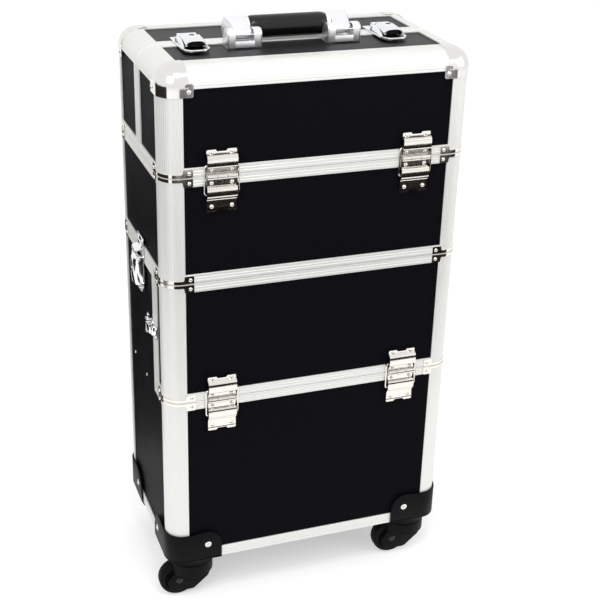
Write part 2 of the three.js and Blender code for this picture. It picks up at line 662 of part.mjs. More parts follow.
function doorSwingHeight() {
  const reach = HINGE_PROUD + DOOR_DEPTH;
  return Math.sqrt((DOOR_TIER - HALF_GAP) ** 2 - reach ** 2);
}

function doorPanels() {
  const room = prism(tierPlan(WALL_INSET), [HALF_GAP + BOARD, doorSwingHeight() - BOARD]);
  let body = doorSlice(PANEL_INSET).subtract(room);
  const keeper = doorLatchKeeper().add(doorLatchShanks(DOOR_LATCH_KEEPER - 1.6));
  for (const side of [-1, 1]) {
    body = body.add(onDoorSide(keeper, side, side * SIDE, DOORWAY[1], DOOR_LATCH_HEIGHT));
  }
  return body;
}

function doorFrame() {
  const windowHeight = [RAIL_HEIGHT, DOOR_TIER - RAIL_HEIGHT];
  return doorSlice(0)
    .subtract(tierBlock(FRAME_SKIN, [-1, FAR]))
    .subtract(windowFront(windowHeight))
    .subtract(windowX([FRONT + POST_WIDTH, DOORWAY[1] - JAMB_RAIL], windowHeight))
    .add(frontHalf(cornerStraps(0, 1)))
    .add(frontHalf(cornerStraps(DOOR_TIER, -1)).intersect(doorSwing()));
}

// ---------------------------------------------------------------- upper case
const HINGE_AXIS_Y = FRONT - HINGE_PROUD;
const ARM_PIVOT = [HINGE_AXIS_Y + ARM_BACK, -ARM_DROP];
const ARM_X = TRAY_LENGTH / 2 + ARM_SHEET + 0.5;

function bothEnds(make) {
  const front = make();
  return front.add(front.rotate([0, 0, 180]));
}

// Pins for the tray arms, on the inside of the side walls
function armPins() {
  const pin = (side) => {
    const span = [side * (ARM_X - ARM_SHEET), side * (SIDE - WALL_INSET + 1)].sort((a, b) => a - b);
    return bar('x', TRAY_PIN_RADIUS, span, [ARM_PIVOT[0], MIDDLE_TIER + ARM_PIVOT[1]]);
  };
  return pin(-1).add(pin(1));
}

function upperPanels() {
  const room = prism(tierPlan(WALL_INSET), [HALF_GAP + BOARD, FAR]);
  const shell = tierBlock(PANEL_INSET, [HALF_GAP, MIDDLE_TIER - HALF_GAP]).subtract(room);
  const riveted = lowerLeafSolid.add(leafShanks(-LOWER_LEAF + 7));
  const leaf = riveted.translate([0, FRONT, MIDDLE_TIER]).rotate([0, 0, 180]);
  const keeper = latchKeeperSolid.add(keeperShanks(PANEL_INSET + 1));
  return union([
    shell,
    bothEnds(armPins),
    leaf.translate([-HINGE_X, 0, 0]),
    leaf.translate([HINGE_X, 0, 0]),
    onSide(keeper, -1, -SIDE, 0, 0),
    onSide(keeper, 1, SIDE, 0, 0),
  ]);
}

function upperFrame() {
  const skin = tierBlock(0, [HALF_GAP, MIDDLE_TIER - HALF_GAP]).subtract(tierBlock(FRAME_SKIN, [-1, FAR]));
  const opening = [RAIL_HEIGHT, MIDDLE_TIER - RAIL_HEIGHT];
  const postBack = -FRONT - POST_WIDTH;
  return skin
    .subtract(windowFront(opening))
    .subtract(windowRear(opening))
    .subtract(windowX([-postBack, postBack], opening))
    .add(cornerStraps(0, 1))
    .add(cornerStraps(MIDDLE_TIER, -1));
}

// ---------------------------------------------------------------- half lids
// Drawn as the front lid, with z = 0 at the seam; the rear lid is the same piece turned round
const TRAY_PINS = [
  [HINGE_AXIS_Y + TRAY_REACH, TRAY_RISE],
  [HINGE_AXIS_Y + TRAY_REACH * TRAY_STEP, TRAY_RISE * TRAY_STEP],
];

function trayPins() {
  const pins = [];
  for (const [y, z] of TRAY_PINS) {
    for (const side of [-1, 1]) {
      const span = [side * (TRAY_LENGTH / 2 - TRAY_WALL), side * (SIDE - WALL_INSET + 1)].sort((a, b) => a - b);
      pins.push(bar('x', TRAY_PIN_RADIUS, span, [y, z]));
    }
  }
  return union(pins);
}

function lidPanels() {
  const size = [CASE_WIDTH - 2 * WALL_INSET, CASE_DEPTH - 2 * WALL_INSET, 2 * (LID_TIER - WALL_INSET)];
  const room = solid(new RoundedBoxGeometry(...size, 3, EDGE_RADIUS - WALL_INSET));
  return lidBlock(PANEL_INSET).subtract(room).add(trayPins());
}

function rearLidPanels() {
  const leaf = upperLeafSolid.add(leafShanks(UPPER_LEAF - RIVET_RADIUS - 0.8)).translate([0, FRONT, 0]);
  const keeper = latchKeeperSolid.add(keeperShanks(PANEL_INSET + 1)).rotate([0, 0, 180]);
  const parts = [lidPanels()];
  for (const side of [-1, 1]) {
    parts.push(leaf.translate([side * HINGE_X, 0, 0]));
    parts.push(keeper.translate([side * LATCH_SPACING / 2 - TOP_HARDWARE_OFFSET, 0, LID_TIER]));
  }
  return union(parts);
}

function lidFrame() {
  const opening = [RAIL_HEIGHT, LID_TIER - TOP_RAIL];
  const topWindow = block(
    [LID_BORDER_SIDE - SIDE, SIDE - LID_BORDER_SIDE],
    [FRONT + LID_BORDER_FRONT, -SPLIT_RAIL],
    [LID_TIER - FRAME_SKIN - 1, FAR],
  );
  const size = [CASE_WIDTH - 2 * FRAME_SKIN, CASE_DEPTH - 2 * FRAME_SKIN, 2 * (LID_TIER - FRAME_SKIN)];
  const inside = solid(new RoundedBoxGeometry(...size, 3, EDGE_RADIUS - FRAME_SKIN));
  return lidBlock(0)
    .subtract(inside)
    .subtract(topWindow)
    .subtract(windowFront(opening))
    .subtract(windowX([FRONT + POST_WIDTH, -SPLIT_RAIL], opening))
    .add(frontHalf(cornerStraps(0, 1)))
    .add(lidCaps(inside));
}

// ---------------------------------------------------------------- cantilever trays
function lidTray(index) {
  const [pinY, pinZ] = TRAY_PINS[index];
  const height = [LOWER_TRAY_HEIGHT, UPPER_TRAY_HEIGHT][index];
  const nose = [LOWER_TRAY_NOSE, UPPER_TRAY_NOSE][index];
  const drop = [LOWER_TRAY_DROP, UPPER_TRAY_DROP][index];
  const half = TRAY_LENGTH / 2;
  const y = [pinY - nose, -SEAM_GAP - 1];
  const z = pinZ - drop;
  const wall = TRAY_WALL;
  const box = prism(rectangle([-half, half], y, 4), [z, z + height], 1);
  const inside = rectangle([wall - half, half - wall], [y[0] + wall, y[1] - wall], 4 - wall);
  const room = prism(inside, [z + wall, FAR], 1);
  let tray = box.subtract(room);
  for (const x of [-half / 3, half / 3]) {
    tray = tray.add(block([x - wall / 2, x + wall / 2], [y[0] + 1, y[1] - 1], [z + 1, z + height - 2]));
  }
  const stub = bar('x', TRAY_PIN_RADIUS - 0.5, [-ARM_X - 0.2, ARM_X + 0.2], [pinY + ARM_BACK, pinZ - ARM_DROP], 6);
  const stubs = stub.subtract(block([-half + 1, half - 1], [-FAR, FAR], [-FAR, FAR]));
  const bore = hole('x', TRAY_PIN_RADIUS + GAP, [-FAR, FAR], [pinY, pinZ]);
  return tray.subtract(bore).add(stubs);
}

function trayArm() {
  const [y0, z0] = ARM_PIVOT;
  const reach = TRAY_REACH * TRAY_STEP;
  const rise = TRAY_RISE * TRAY_STEP;
  const length = Math.hypot(reach, rise);
  const radius = ARM_WIDTH / 2;
  const flat = rectangle([-radius, length + radius], [-radius, radius], radius);
  const angle = THREE.MathUtils.radToDeg(Math.atan2(rise, reach));
  const bore = (distance, size) => hole('x', size, [-1, ARM_SHEET + 1], [distance, 0]);
  return extrudeX(flat, [0, ARM_SHEET])
    .subtract(bore(0, TRAY_PIN_RADIUS + GAP))
    .subtract(bore(length / TRAY_STEP, TRAY_PIN_RADIUS))
    .subtract(bore(length, TRAY_PIN_RADIUS))
    .rotate([angle, 0, 0])
    .translate([0, y0, z0]);
}

// ---------------------------------------------------------------- carry handle
// Drawn on the lid top: z = 0 the top face, x = 0 the middle of the handle, y = 0 the split
const PIVOT_Y = -HANDLE_PIVOT_SETBACK;
const GRIP_Y = -GRIP_SETBACK;

// The outline of an ear, or of the hollow behind its sheet
function earOutline(inset, seat) {
  const front = inset - BRACKET_SETBACK;
  const back = BRACKET_LENGTH - BRACKET_SETBACK - inset;
  const top = BRACKET_HEIGHT - inset;
  const shape = new THREE.Shape();
  shape.moveTo(front, seat - inset);
  shape.lineTo(back, seat - inset);
  shape.quadraticCurveTo(back, top, front + 8, top);
  shape.quadraticCurveTo(front, top, front, top - 6);
  return shape;
}

function handleBracket() {
  const half = BRACKET_WIDTH / 2;
  const y0 = -BRACKET_SETBACK;
  const seat = GAP - PANEL_INSET; // it stands on the board, in the frame's top window
  const sheet = BRACKET_SHEET;
  const inner = half - BRACKET_EAR;
  const hollow = extrudeX(earOutline(sheet, seat), [inner - 1, half - sheet]);
  const ear = extrudeX(earOutline(0, seat), [inner, half]).subtract(hollow);
  const slot = rectangle([-inner, inner], BRACKET_SLOT, 1.5);
  const front = block([-half, half], [y0, y0 + sheet], [seat, BRACKET_SLOT[1] + 1.5])
    .subtract(extrudeY(slot, [-FAR, FAR], 2));
  return union([
    ear,
    ear.mirror([1, 0, 0]),
    front,
    block([-half, half], [y0, y0 + BRACKET_LENGTH], [seat, seat + sheet]),
    bar('x', HANDLE_PIN_RADIUS, [1 - half, half - 1], [PIVOT_Y, HANDLE_PIVOT_LIFT]),
  ]);
}

// The right-hand arm as seen from above: it widens outwards behind its bracket
function armPlan(reach) {
  const half = HANDLE_ARM_WIDTH / 2;
  const wide = half + HANDLE_ARM_FLARE;
  const clear = 1 + BRACKET_LENGTH - BRACKET_SETBACK;
  const shape = new THREE.Shape();
  shape.moveTo(-half, -reach);
  shape.lineTo(half, -reach);
  shape.lineTo(half, clear);
  shape.quadraticCurveTo(wide, clear, wide, Math.max(GRIP_Y, clear + 1));
  shape.lineTo(wide, reach);
  shape.lineTo(-half, reach);
  return shape;
}

function handleArm() {
  const shape = new THREE.Shape();
  const boss = HANDLE_PIN_RADIUS + 3;
  shape.absarc(PIVOT_Y, HANDLE_PIVOT_LIFT, boss, Math.PI / 2, 1.5 * Math.PI);
  shape.quadraticCurveTo(GRIP_Y - 12, GRIP_LIFT - GRIP_RADIUS + 2, GRIP_Y, GRIP_LIFT - GRIP_RADIUS);
  shape.absarc(GRIP_Y, GRIP_LIFT, GRIP_RADIUS, -Math.PI / 2, Math.PI / 2);
  shape.quadraticCurveTo(GRIP_Y - 10, GRIP_LIFT + GRIP_RADIUS - 2, PIVOT_Y, HANDLE_PIVOT_LIFT + boss);
  const half = HANDLE_ARM_WIDTH / 2;
  const bore = hole('x', HANDLE_PIN_RADIUS + GAP, [-FAR, FAR], [PIVOT_Y, HANDLE_PIVOT_LIFT]);
  const reach = BRACKET_SETBACK + GRIP_RADIUS;
  return extrudeX(shape, [-half, half + HANDLE_ARM_FLARE], 4)
    .intersect(prism(armPlan(reach), [-FAR, FAR], 4))
    .subtract(bore);
}

function handleBail() {
  const half = HANDLE_SPAN / 2;
  const arm = handleArm();
  const capEnd = half - HANDLE_ARM_WIDTH / 2 + 1;
  const cap = bar('x', GRIP_RADIUS, [GRIP_LENGTH / 2 + GAP, capEnd], [GRIP_Y, GRIP_LIFT], 12);
  return union([
    arm.mirror([1, 0, 0]).translate([-half, 0, 0]),
    arm.translate([half, 0, 0]),
    cap,
    cap.mirror([1, 0, 0]),
    bar('x', HANDLE_ROD_RADIUS, [-half, half], [GRIP_Y, GRIP_LIFT]),
  ]);
}

function handleGrip() {
  const half = GRIP_LENGTH / 2;
  const grip = bar('x', GRIP_RADIUS, [-half, half], [GRIP_Y, GRIP_LIFT], 20);
  return grip.subtract(hole('x', HANDLE_ROD_RADIUS + GAP, [-FAR, FAR], [GRIP_Y, GRIP_LIFT]));
}

// ---------------------------------------------------------------- corner protectors and casters
// Drawn for the front left corner of the lower case, z = 0 the case's underside
// One leg as seen square on: level from the corner, dipping behind the post, with a round end
function legProfile(corner, leg, round) {
  const shape = new THREE.Shape();
  const start = corner - PROTECTOR_SKIN - 1;
  const end = corner + leg;
  shape.moveTo(start, 0);
  shape.lineTo(end, 0);
  shape.lineTo(end, PROTECTOR_HEIGHT - round);
  shape.absarc(end - round, PROTECTOR_HEIGHT - round, round, 0, Math.PI / 2);
  shape.quadraticCurveTo(corner + POST_WIDTH, PROTECTOR_HEIGHT - 2 * PROTECTOR_DIP, start, PROTECTOR_HEIGHT);
  return shape;
}

const COLLAR_AT = [CASTER_INSET_X - SIDE, CASTER_INSET_Y + FRONT];

function protector() {
  const outer = tierBlock(-GAP - PROTECTOR_SKIN, [0, PROTECTOR_HEIGHT]);
  const skin = outer.subtract(tierBlock(-GAP, [-1, FAR]));
  const legs = skin
    .intersect(extrudeY(legProfile(-SIDE, PROTECTOR_FRONT_LEG, PROTECTOR_FRONT_ROUND), [-FAR, 0], 4))
    .intersect(extrudeX(legProfile(FRONT, PROTECTOR_SIDE_LEG, PROTECTOR_SIDE_ROUND), [-FAR, 0], 4));
  const plateX = [-FAR, PROTECTOR_FRONT_LEG - SIDE];
  const plate = outer.intersect(block(plateX, [-FAR, FRONT + PLATE_DEPTH], [0, PLATE_THICKNESS]));
  const r = COLLAR_RADIUS;
  const h = COLLAR_HEIGHT;
  const flare = [[0, 1], [r + 3, 1], [r + 1.2, -h * 0.25], [r, -h * 0.6], [r, -h], [0, -h]];
  const bore = hole('z', STEM_RADIUS + GAP, [-h - 1, -2], COLLAR_AT);
  return legs.add(plate).add(turned(flare.reverse(), 16).translate([...COLLAR_AT, 0])).subtract(bore);
}

// Drawn with the swivel axis as Z; the wheel trails towards -X
const AXLE_AT = [-WHEEL_TRAIL, WHEEL_RADIUS - GROUND_CLEARANCE];

// A round hood under the collar, open below, with two cheeks down to the axle
function forkHood(top) {
  const r = FORK_RADIUS;
  const inside = r - FORK_SHEET;
  const roof = top - FORK_ROOF;
  const wall = [[inside, -FORK_DROP], [r, -FORK_DROP], [r, top - 2], [r - 1.5, top]];
  return turned([[0, roof], [inside, roof], ...wall, [0, top]], 18);
}

function forkCheek(top) {
  const [x, z] = AXLE_AT;
  const foot = WHEEL_RADIUS * 0.7;
  const edge = FORK_RADIUS * 0.88;
  const shape = new THREE.Shape();
  shape.moveTo(-edge, top - FORK_ROOF);
  shape.lineTo(-edge, -FORK_DROP);
  shape.absarc(x, z, foot, Math.PI * 0.95, Math.PI * 1.6);
  shape.lineTo(x + foot * 1.25, z - foot * 0.8);
  shape.lineTo(edge * 0.8, z);
  shape.lineTo(edge, -FORK_DROP);
  shape.lineTo(edge, top - FORK_ROOF);
  return extrudeY(shape, [-FORK_SHEET, 0], 4);
}

function casterFork() {
  const top = -COLLAR_HEIGHT - GAP;
  const clear = WHEEL_WIDTH / 2 + WHEEL_CLEARANCE;
  const half = clear + FORK_SHEET;
  const cheek = forkCheek(top);
  const well = bar('y', WHEEL_RADIUS + WHEEL_CLEARANCE, [-clear, clear], AXLE_AT, 24);
  return union([forkHood(top), cheek.translate([0, -clear, 0]), cheek.translate([0, half, 0])])
    .subtract(well)
    .add(bar('y', AXLE_RADIUS, [1 - half, half - 1], AXLE_AT))
    .add(bar('z', STEM_RADIUS, [top - 1, -3], [0, 0]));
}

function casterWheel() {
  const half = WHEEL_WIDTH / 2;
  const r = WHEEL_RADIUS;
  const bore = AXLE_RADIUS + GAP;
  const profile = [
    [bore, -half], [r * 0.36, -half], [r * 0.36, 2 - half], [r * 0.75, 2 - half], [r * 0.75, -half],
    [r - 1.5, -half], [r, 2 - half], [r, half - 2], [r - 1.5, half], [bore, half], [bore, -half],
  ];
  return turned(profile, 18).rotate([90, 0, 0]).translate([AXLE_AT[0], 0, AXLE_AT[1]]);
}

// ---------------------------------------------------------------- assembly
const trainCase = new THREE.Group();

function group(z, y = 0, turnZ = 0) {
  const made = new THREE.Group();
  trainCase.add(place(made, 0, y, z, turnZ));
  return made;
}

const SIDES = { left: -1, right: 1 };

function buildLowerCase() {
  const lower = group(UNDERSIDE);
  lower.add(piece('lower_panels', lowerPanels(), panel));
  lower.add(piece('lower_frame', lowerFrame(), aluminium));
  lower.add(piece('divider_tray', dividerTray(), trayPlastic));
  for (const [name, side] of Object.entries(SIDES)) {
    const leaf = piece(`door_hinge_lower_leaf_${name}`, lowerLeafSolid, chrome);
    lower.add(place(leaf, side * HINGE_X, FRONT, BASE_TIER));
    const base = piece(`side_latch_base_${name}`, latchBaseSolid, chrome);
    const lever = piece(`side_latch_lever_${name}`, latchLeverSolid, chrome);
    for (const mesh of [base, lever]) lower.add(placeOnSide(mesh, side, side * SIDE, 0, LOWER_HEIGHT));
    const catchLever = piece(`door_latch_lever_${name}`, doorLatchLever(), chrome);
    catchLever.quaternion.setFromRotationMatrix(doorSideBasis(side));
    catchLever.position.set(side * SIDE, DOORWAY[1], BASE_TIER + DOOR_LATCH_HEIGHT);
    lower.add(catchLever);
  }
}

// The rear corners are the front ones turned round, so that every caster has its own place
function buildCorners() {
  const left = protector();
  const right = left.mirror([1, 0, 0]);
  const corners = [
    ['front_left', left, 0, -1, -1, 0],
    ['front_right', right, 0, 1, -1, 0],
    ['rear_left', right, Math.PI, -1, 1, Math.PI],
    ['rear_right', left, Math.PI, 1, 1, 0],
  ];
  for (const [name, corner, turn, sx, sy, swivel] of corners) {
    const mesh = piece(`corner_protector_${name}`, corner, blackPlastic);
    trainCase.add(place(mesh, 0, 0, UNDERSIDE, turn));
    const caster = new THREE.Group();
    caster.add(piece(`caster_fork_${name}`, casterFork(), blackPlastic));
    caster.add(piece(`caster_wheel_${name}`, casterWheel(), wheelRubber));
    const x = sx * -COLLAR_AT[0];
    const y = sy * -COLLAR_AT[1];
    trainCase.add(place(caster, x, y, UNDERSIDE, swivel));
  }
}

function buildDoor() {
  const door = group(SEAM_DOOR);
  door.add(piece('door_panels', doorPanels(), panel));
  door.add(piece('door_frame', doorFrame(), aluminium));
  for (const [name, side] of Object.entries(SIDES)) {
    door.add(place(piece(`door_hinge_upper_leaf_${name}`, upperLeafSolid, chrome), side * HINGE_X, FRONT, 0));
  }
}

function buildRings(label, seam, turn) {
  const rings = group(seam, 0, turn);
  for (const [name, side] of Object.entries(SIDES)) {
    const x = turn ? -side * HINGE_X : side * HINGE_X;
    const ring = piece(`${label}_hinge_ring_${name}`, ringSolid, chrome);
    rings.add(place(ring, x, FRONT - RING_STANDOFF, -RING_PIVOT_DROP));
  }
}

function buildUpperCase() {
  const upper = group(SEAM_UPPER);
  upper.add(piece('upper_panels', upperPanels(), panel));
  upper.add(piece('upper_frame', upperFrame(), aluminium));
  for (const [name, side] of Object.entries(SIDES)) {
    const leaf = piece(`front_lid_hinge_lower_leaf_${name}`, lowerLeafSolid, chrome);
    upper.add(place(leaf, side * HINGE_X, FRONT, MIDDLE_TIER));
  }
}

function buildFrontLid() {
  const lid = group(SEAM_LID);
  lid.add(piece('front_lid_panels', lidPanels(), panel));
  lid.add(piece('front_lid_frame', lidFrame(), aluminium));
  for (const [name, side] of Object.entries(SIDES)) {
    const leaf = piece(`front_lid_hinge_upper_leaf_${name}`, upperLeafSolid, chrome);
    lid.add(place(leaf, side * HINGE_X, FRONT, 0));
    const latchX = TOP_HARDWARE_OFFSET + side * LATCH_SPACING / 2;
    lid.add(place(piece(`top_latch_base_${name}`, latchBaseSolid, chrome), latchX, 0, LID_TIER));
    lid.add(place(piece(`top_latch_lever_${name}`, latchLeverSolid, chrome), latchX, 0, LID_TIER));
    const bracketX = HANDLE_OFFSET + side * HANDLE_SPAN / 2;
    lid.add(place(piece(`handle_bracket_${name}`, handleBracket(), chrome), bracketX, 0, LID_TIER));
  }
  lid.add(place(piece('handle_bail', handleBail(), chrome), HANDLE_OFFSET, 0, LID_TIER));
  lid.add(place(piece('handle_grip', handleGrip(), blackPlastic), HANDLE_OFFSET, 0, LID_TIER));
}

function buildRearLid() {
  const lid = group(SEAM_LID, 0, Math.PI);
  lid.add(piece('rear_lid_panels', rearLidPanels(), panel));
  lid.add(piece('rear_lid_frame', lidFrame(), aluminium));
}

function buildTrays(label, turn) {
  const trays = group(SEAM_LID, 0, turn);
  trays.add(piece(`${label}_tray_lower`, lidTray(0), trayPlastic));
  trays.add(piece(`${label}_tray_upper`, lidTray(1), trayPlastic));
  for (const [name, side] of Object.entries(SIDES)) {
    const x = (turn ? -side : side) > 0 ? ARM_X - ARM_SHEET : -ARM_X;
    trays.add(place(piece(`${label}_tray_arm_${name}`, trayArm(), aluminium), x, 0, 0));
  }
}

buildLowerCase();
buildCorners();
buildDoor();
buildRings('door', SEAM_DOOR, 0);
buildUpperCase();
buildRings('front_lid', SEAM_LID, 0);
buildRings('rear_lid', SEAM_LID, Math.PI);
buildFrontLid();
buildRearLid();
buildTrays('front', 0);
buildTrays('rear', Math.PI);

export default trainCase;
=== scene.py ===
"""Looks of the makeup train case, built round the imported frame. Helper sizes are in millimetres."""
import math

import bmesh
import bpy
from mathutils import Matrix, Vector


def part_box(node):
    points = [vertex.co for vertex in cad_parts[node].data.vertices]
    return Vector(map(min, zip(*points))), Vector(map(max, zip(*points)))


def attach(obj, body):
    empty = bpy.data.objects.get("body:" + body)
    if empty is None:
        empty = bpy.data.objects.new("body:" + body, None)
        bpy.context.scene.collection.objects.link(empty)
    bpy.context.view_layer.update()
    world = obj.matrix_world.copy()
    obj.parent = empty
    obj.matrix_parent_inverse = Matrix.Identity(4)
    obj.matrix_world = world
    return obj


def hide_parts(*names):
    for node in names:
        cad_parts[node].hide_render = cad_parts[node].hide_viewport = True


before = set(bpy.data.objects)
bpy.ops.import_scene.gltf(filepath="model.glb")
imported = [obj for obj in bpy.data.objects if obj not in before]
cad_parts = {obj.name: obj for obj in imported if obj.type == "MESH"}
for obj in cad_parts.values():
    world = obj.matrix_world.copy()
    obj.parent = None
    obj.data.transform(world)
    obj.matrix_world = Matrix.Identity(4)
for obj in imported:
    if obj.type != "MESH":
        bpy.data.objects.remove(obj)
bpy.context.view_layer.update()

MM = 0.001
X, Y, Z = Vector((1, 0, 0)), Vector((0, 1, 0)), Vector((0, 0, 1))
SIDES = {"left": -1, "right": 1}
LIDS = {"front": -1, "rear": 1}
CORNERS = {"front_left": (-1, -1), "front_right": (1, -1), "rear_left": (-1, 1), "rear_right": (1, 1)}


# ---- sizes from the frame
def box_mm(node):
    low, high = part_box(node)
    return Vector(low) / MM, Vector(high) / MM


def middle_mm(node):
    low, high = box_mm(node)
    return (low + high) / 2


UPPER_LOW, UPPER_HIGH = box_mm("upper_frame")
DOOR_LOW, DOOR_HIGH = box_mm("door_frame")
LID_LOW, LID_HIGH = box_mm("front_lid_frame")
LOWER_LOW, LOWER_HIGH = box_mm("lower_frame")
STRAP_OUT = 0.9
HALF_GAP = (UPPER_LOW.z - LOWER_HIGH.z) / 2
SIDE = UPPER_HIGH.x - STRAP_OUT
BACK = UPPER_HIGH.y - STRAP_OUT
BASE = LOWER_LOW.z
SEAM_DOOR = DOOR_LOW.z - HALF_GAP
SEAM_UPPER = UPPER_LOW.z - HALF_GAP
SEAM_LID = LID_LOW.z - HALF_GAP
TOP = LID_HIGH.z - STRAP_OUT
DOORWAY = DOOR_HIGH.y + HALF_GAP
HINGE_X = abs(middle_mm("door_hinge_upper_leaf_left").x)

# The frame's sections, as the CAD model has them
EDGE = 21.0
ARC = EDGE * math.pi / 2
SKIN = 1.6
GAP = 0.3
BOARD_INSET = SKIN + GAP
POST = 24.8
POST_FLAT = POST - EDGE
RAIL = 10.6
BASE_RAIL = 14.3
TOP_RAIL = 22.4
SPLIT_RAIL = 11.5
JAMB = 10.8
BORDER_FRONT = 32.4
BORDER_SIDE = 26.2


# ---- node materials
class Nodes:
    """Short names for making and joining the nodes of one tree."""

    def __init__(self, tree):
        self.tree = tree
        self.shader = tree.nodes.get("Principled BSDF")

    def feed(self, node, inputs):
        """Links outputs of other nodes to a node's sockets, and sets plain values on them."""
        for name, value in inputs.items():
            if isinstance(value, bpy.types.NodeSocket):
                self.tree.links.new(value, node.inputs[name])
            else:
                node.inputs[name].default_value = value

    def add(self, kind, inputs=None, **settings):
        node = self.tree.nodes.new("ShaderNode" + kind)
        for key, value in settings.items():
            setattr(node, key, value)
        self.feed(node, inputs or {})
        return node

    def place(self):
        return self.add("TexCoord").outputs["Object"]

    def split(self, vector):
        return self.add("SeparateXYZ", {0: vector}).outputs

    def math(self, operation, a, b=0.0):
        return self.add("Math", {0: a, 1: b}, operation=operation).outputs[0]

    def noise(self, scale, detail=3.0, stretch=(1, 1, 1)):
        mapping = self.add("Mapping", {"Scale": stretch, "Vector": self.place()})
        vector = mapping.outputs[0]
        return self.add("TexNoise", {"Scale": scale, "Detail": detail, "Vector": vector}).outputs["Fac"]

    def roughness(self, value, low, high):
        ramp = self.add("MapRange", {"To Min": low, "To Max": high, "Value": value})
        self.feed(self.shader, {"Roughness": ramp.outputs[0]})

    def tint(self, value, dark, light):
        mix = self.add("Mix", {0: value, 6: (*dark, 1), 7: (*light, 1)}, data_type="RGBA")
        self.feed(self.shader, {"Base Color": mix.outputs[2]})

    def bump(self, height, strength, distance):
        bump = self.add("Bump", {"Strength": strength, "Distance": distance, "Height": height})
        self.feed(self.shader, {"Normal": bump.outputs[0]})


def material(name, color, roughness, metallic=0.0, specular=0.5):
    """A plain new material, and its nodes."""
    made = bpy.data.materials.new(name)
    made.use_nodes = True
    n = Nodes(made.node_tree)
    n.feed(n.shader, {"Base Color": (*color, 1), "Roughness": roughness})
    n.feed(n.shader, {"Metallic": metallic, "Specular IOR Level": specular})
    return made, n


def make_aluminium():
    """Satin metal with a fine grain along the posts."""
    made, n = material("satin_aluminium", (0.86, 0.86, 0.83), 0.40, 0.45)
    grain = n.noise(900, 2, (1, 1, 0.04))
    n.roughness(grain, 0.36, 0.46)
    n.tint(n.noise(14, 3), (0.84, 0.84, 0.81), (0.88, 0.88, 0.85))
    n.bump(grain, 0.05, 0.0002)
    return made


def make_plating(name, color, smooth, rough):
    made, n = material(name, color, smooth, 1.0)
    n.roughness(n.noise(260, 3), smooth, rough)
    n.bump(n.noise(120, 2), 0.05, 0.0004)
    return made


LATTICE_PITCH = 0.0027


def lattice_wave(n, distance):
    return n.math("SINE", n.math("MULTIPLY", distance, 2 * math.pi / LATTICE_PITCH))


def lattice(n):
    """Rows of dots set like a chessboard, laid along each face by the body's own axes."""
    place = n.split(n.place())
    normal = n.add("NewGeometry").outputs["True Normal"]
    spaces = {"vector_type": "NORMAL", "convert_from": "WORLD", "convert_to": "OBJECT"}
    facing = n.split(n.add("VectorTransform", {0: normal}, **spaces).outputs[0])
    level = n.math("GREATER_THAN", n.math("ABSOLUTE", facing["Z"]), 0.7)
    upright = n.math("SUBTRACT", 1.0, level)
    across = n.math("ADD", place["X"], n.math("MULTIPLY", place["Y"], upright))
    along = n.math("ADD", n.math("MULTIPLY", place["Z"], upright), n.math("MULTIPLY", place["Y"], level))
    return n.math("MULTIPLY", lattice_wave(n, across), lattice_wave(n, along))


def make_panel(name, specular):
    """Black laminate with the fine embossed lattice; its raised dots are painted lighter and the hollows
    between them darker, a painted highlight and shade of the embossing.
    """
    made, n = material(name, (0.003, 0.003, 0.004), 0.45, specular=specular)
    dots = lattice(n)
    n.roughness(n.noise(30, 4), 0.42, 0.52)
    # Painted highlight and shade: the raised dots lighter, the hollows between them darker.
    n.tint(n.math("GREATER_THAN", dots, 0.3), (0.0003, 0.0003, 0.0009), (0.015, 0.015, 0.020))
    n.bump(dots, 0.4, 0.0001)
    return made


def make_plastic(name, color, roughness, grain=500.0, specular=0.08):
    made, n = material(name, color, roughness, specular=specular)
    n.roughness(n.noise(40, 4), roughness - 0.05, roughness + 0.07)
    n.tint(n.noise(9, 3), color, [1.5 * c for c in color])
    n.bump(n.noise(grain, 3), 0.15, 0.0002)
    return made


ALUMINIUM = make_aluminium()
CHROME = make_plating("chrome", (0.80, 0.77, 0.72), 0.05, 0.14)
CAP = make_plating("cap_chrome", (0.80, 0.79, 0.77), 0.10, 0.16)
BRIGHT = make_plating("bright_chrome", (0.88, 0.89, 0.91), 0.06, 0.16)
NICKEL = make_plating("nickel_plate", (0.93, 0.93, 0.95), 0.32, 0.44)
PANEL = make_panel("embossed_black_board", 0.02)
# A copy of the board laminate with a higher specular level, put only on the lids' top faces: a painted
# sheen.
LID_TOP_SHEEN_PANEL = make_panel("embossed_board_top_sheen", 0.3)
BLACK = make_plastic("moulded_black", (0.0035, 0.0035, 0.004), 0.45)
RUBBER = make_plastic("wheel_tyre", (0.006, 0.006, 0.006), 0.6, 900.0)
GRIP = make_plastic("grip_black", (0.002, 0.002, 0.002), 0.22, 260.0, 0.4)
TRAY = make_plastic("tray_black", (0.018, 0.018, 0.020), 0.5, 700.0)


# ---- places and outlines
def axes(origin, u, v, w):
    """A place: an origin and three directions, which shapes are drawn along."""
    return Vector(origin), Vector(u), Vector(v), Vector(w)


def at(place, u, v, w):
    return place[0] + place[1] * u + place[2] * v + place[3] * w


def moved(place, u, v, w):
    return at(place, u, v, w), *place[1:]


def across(place):
    """The same axes for profiles drawn in (v, w) and pushed along u."""
    origin, u, v, w = place
    return origin, v, w, u


def corner_place(sx, sy, z=0.0):
    """Axes at an upright corner: u in from the side, v in from the front or back, w up."""
    return axes((sx * SIDE, sy * BACK, z), -sx * X, -sy * Y, Z)


def span(side, near, far):
    """Two distances on one side of the middle, the lower number first."""
    return sorted((side * near, side * far))


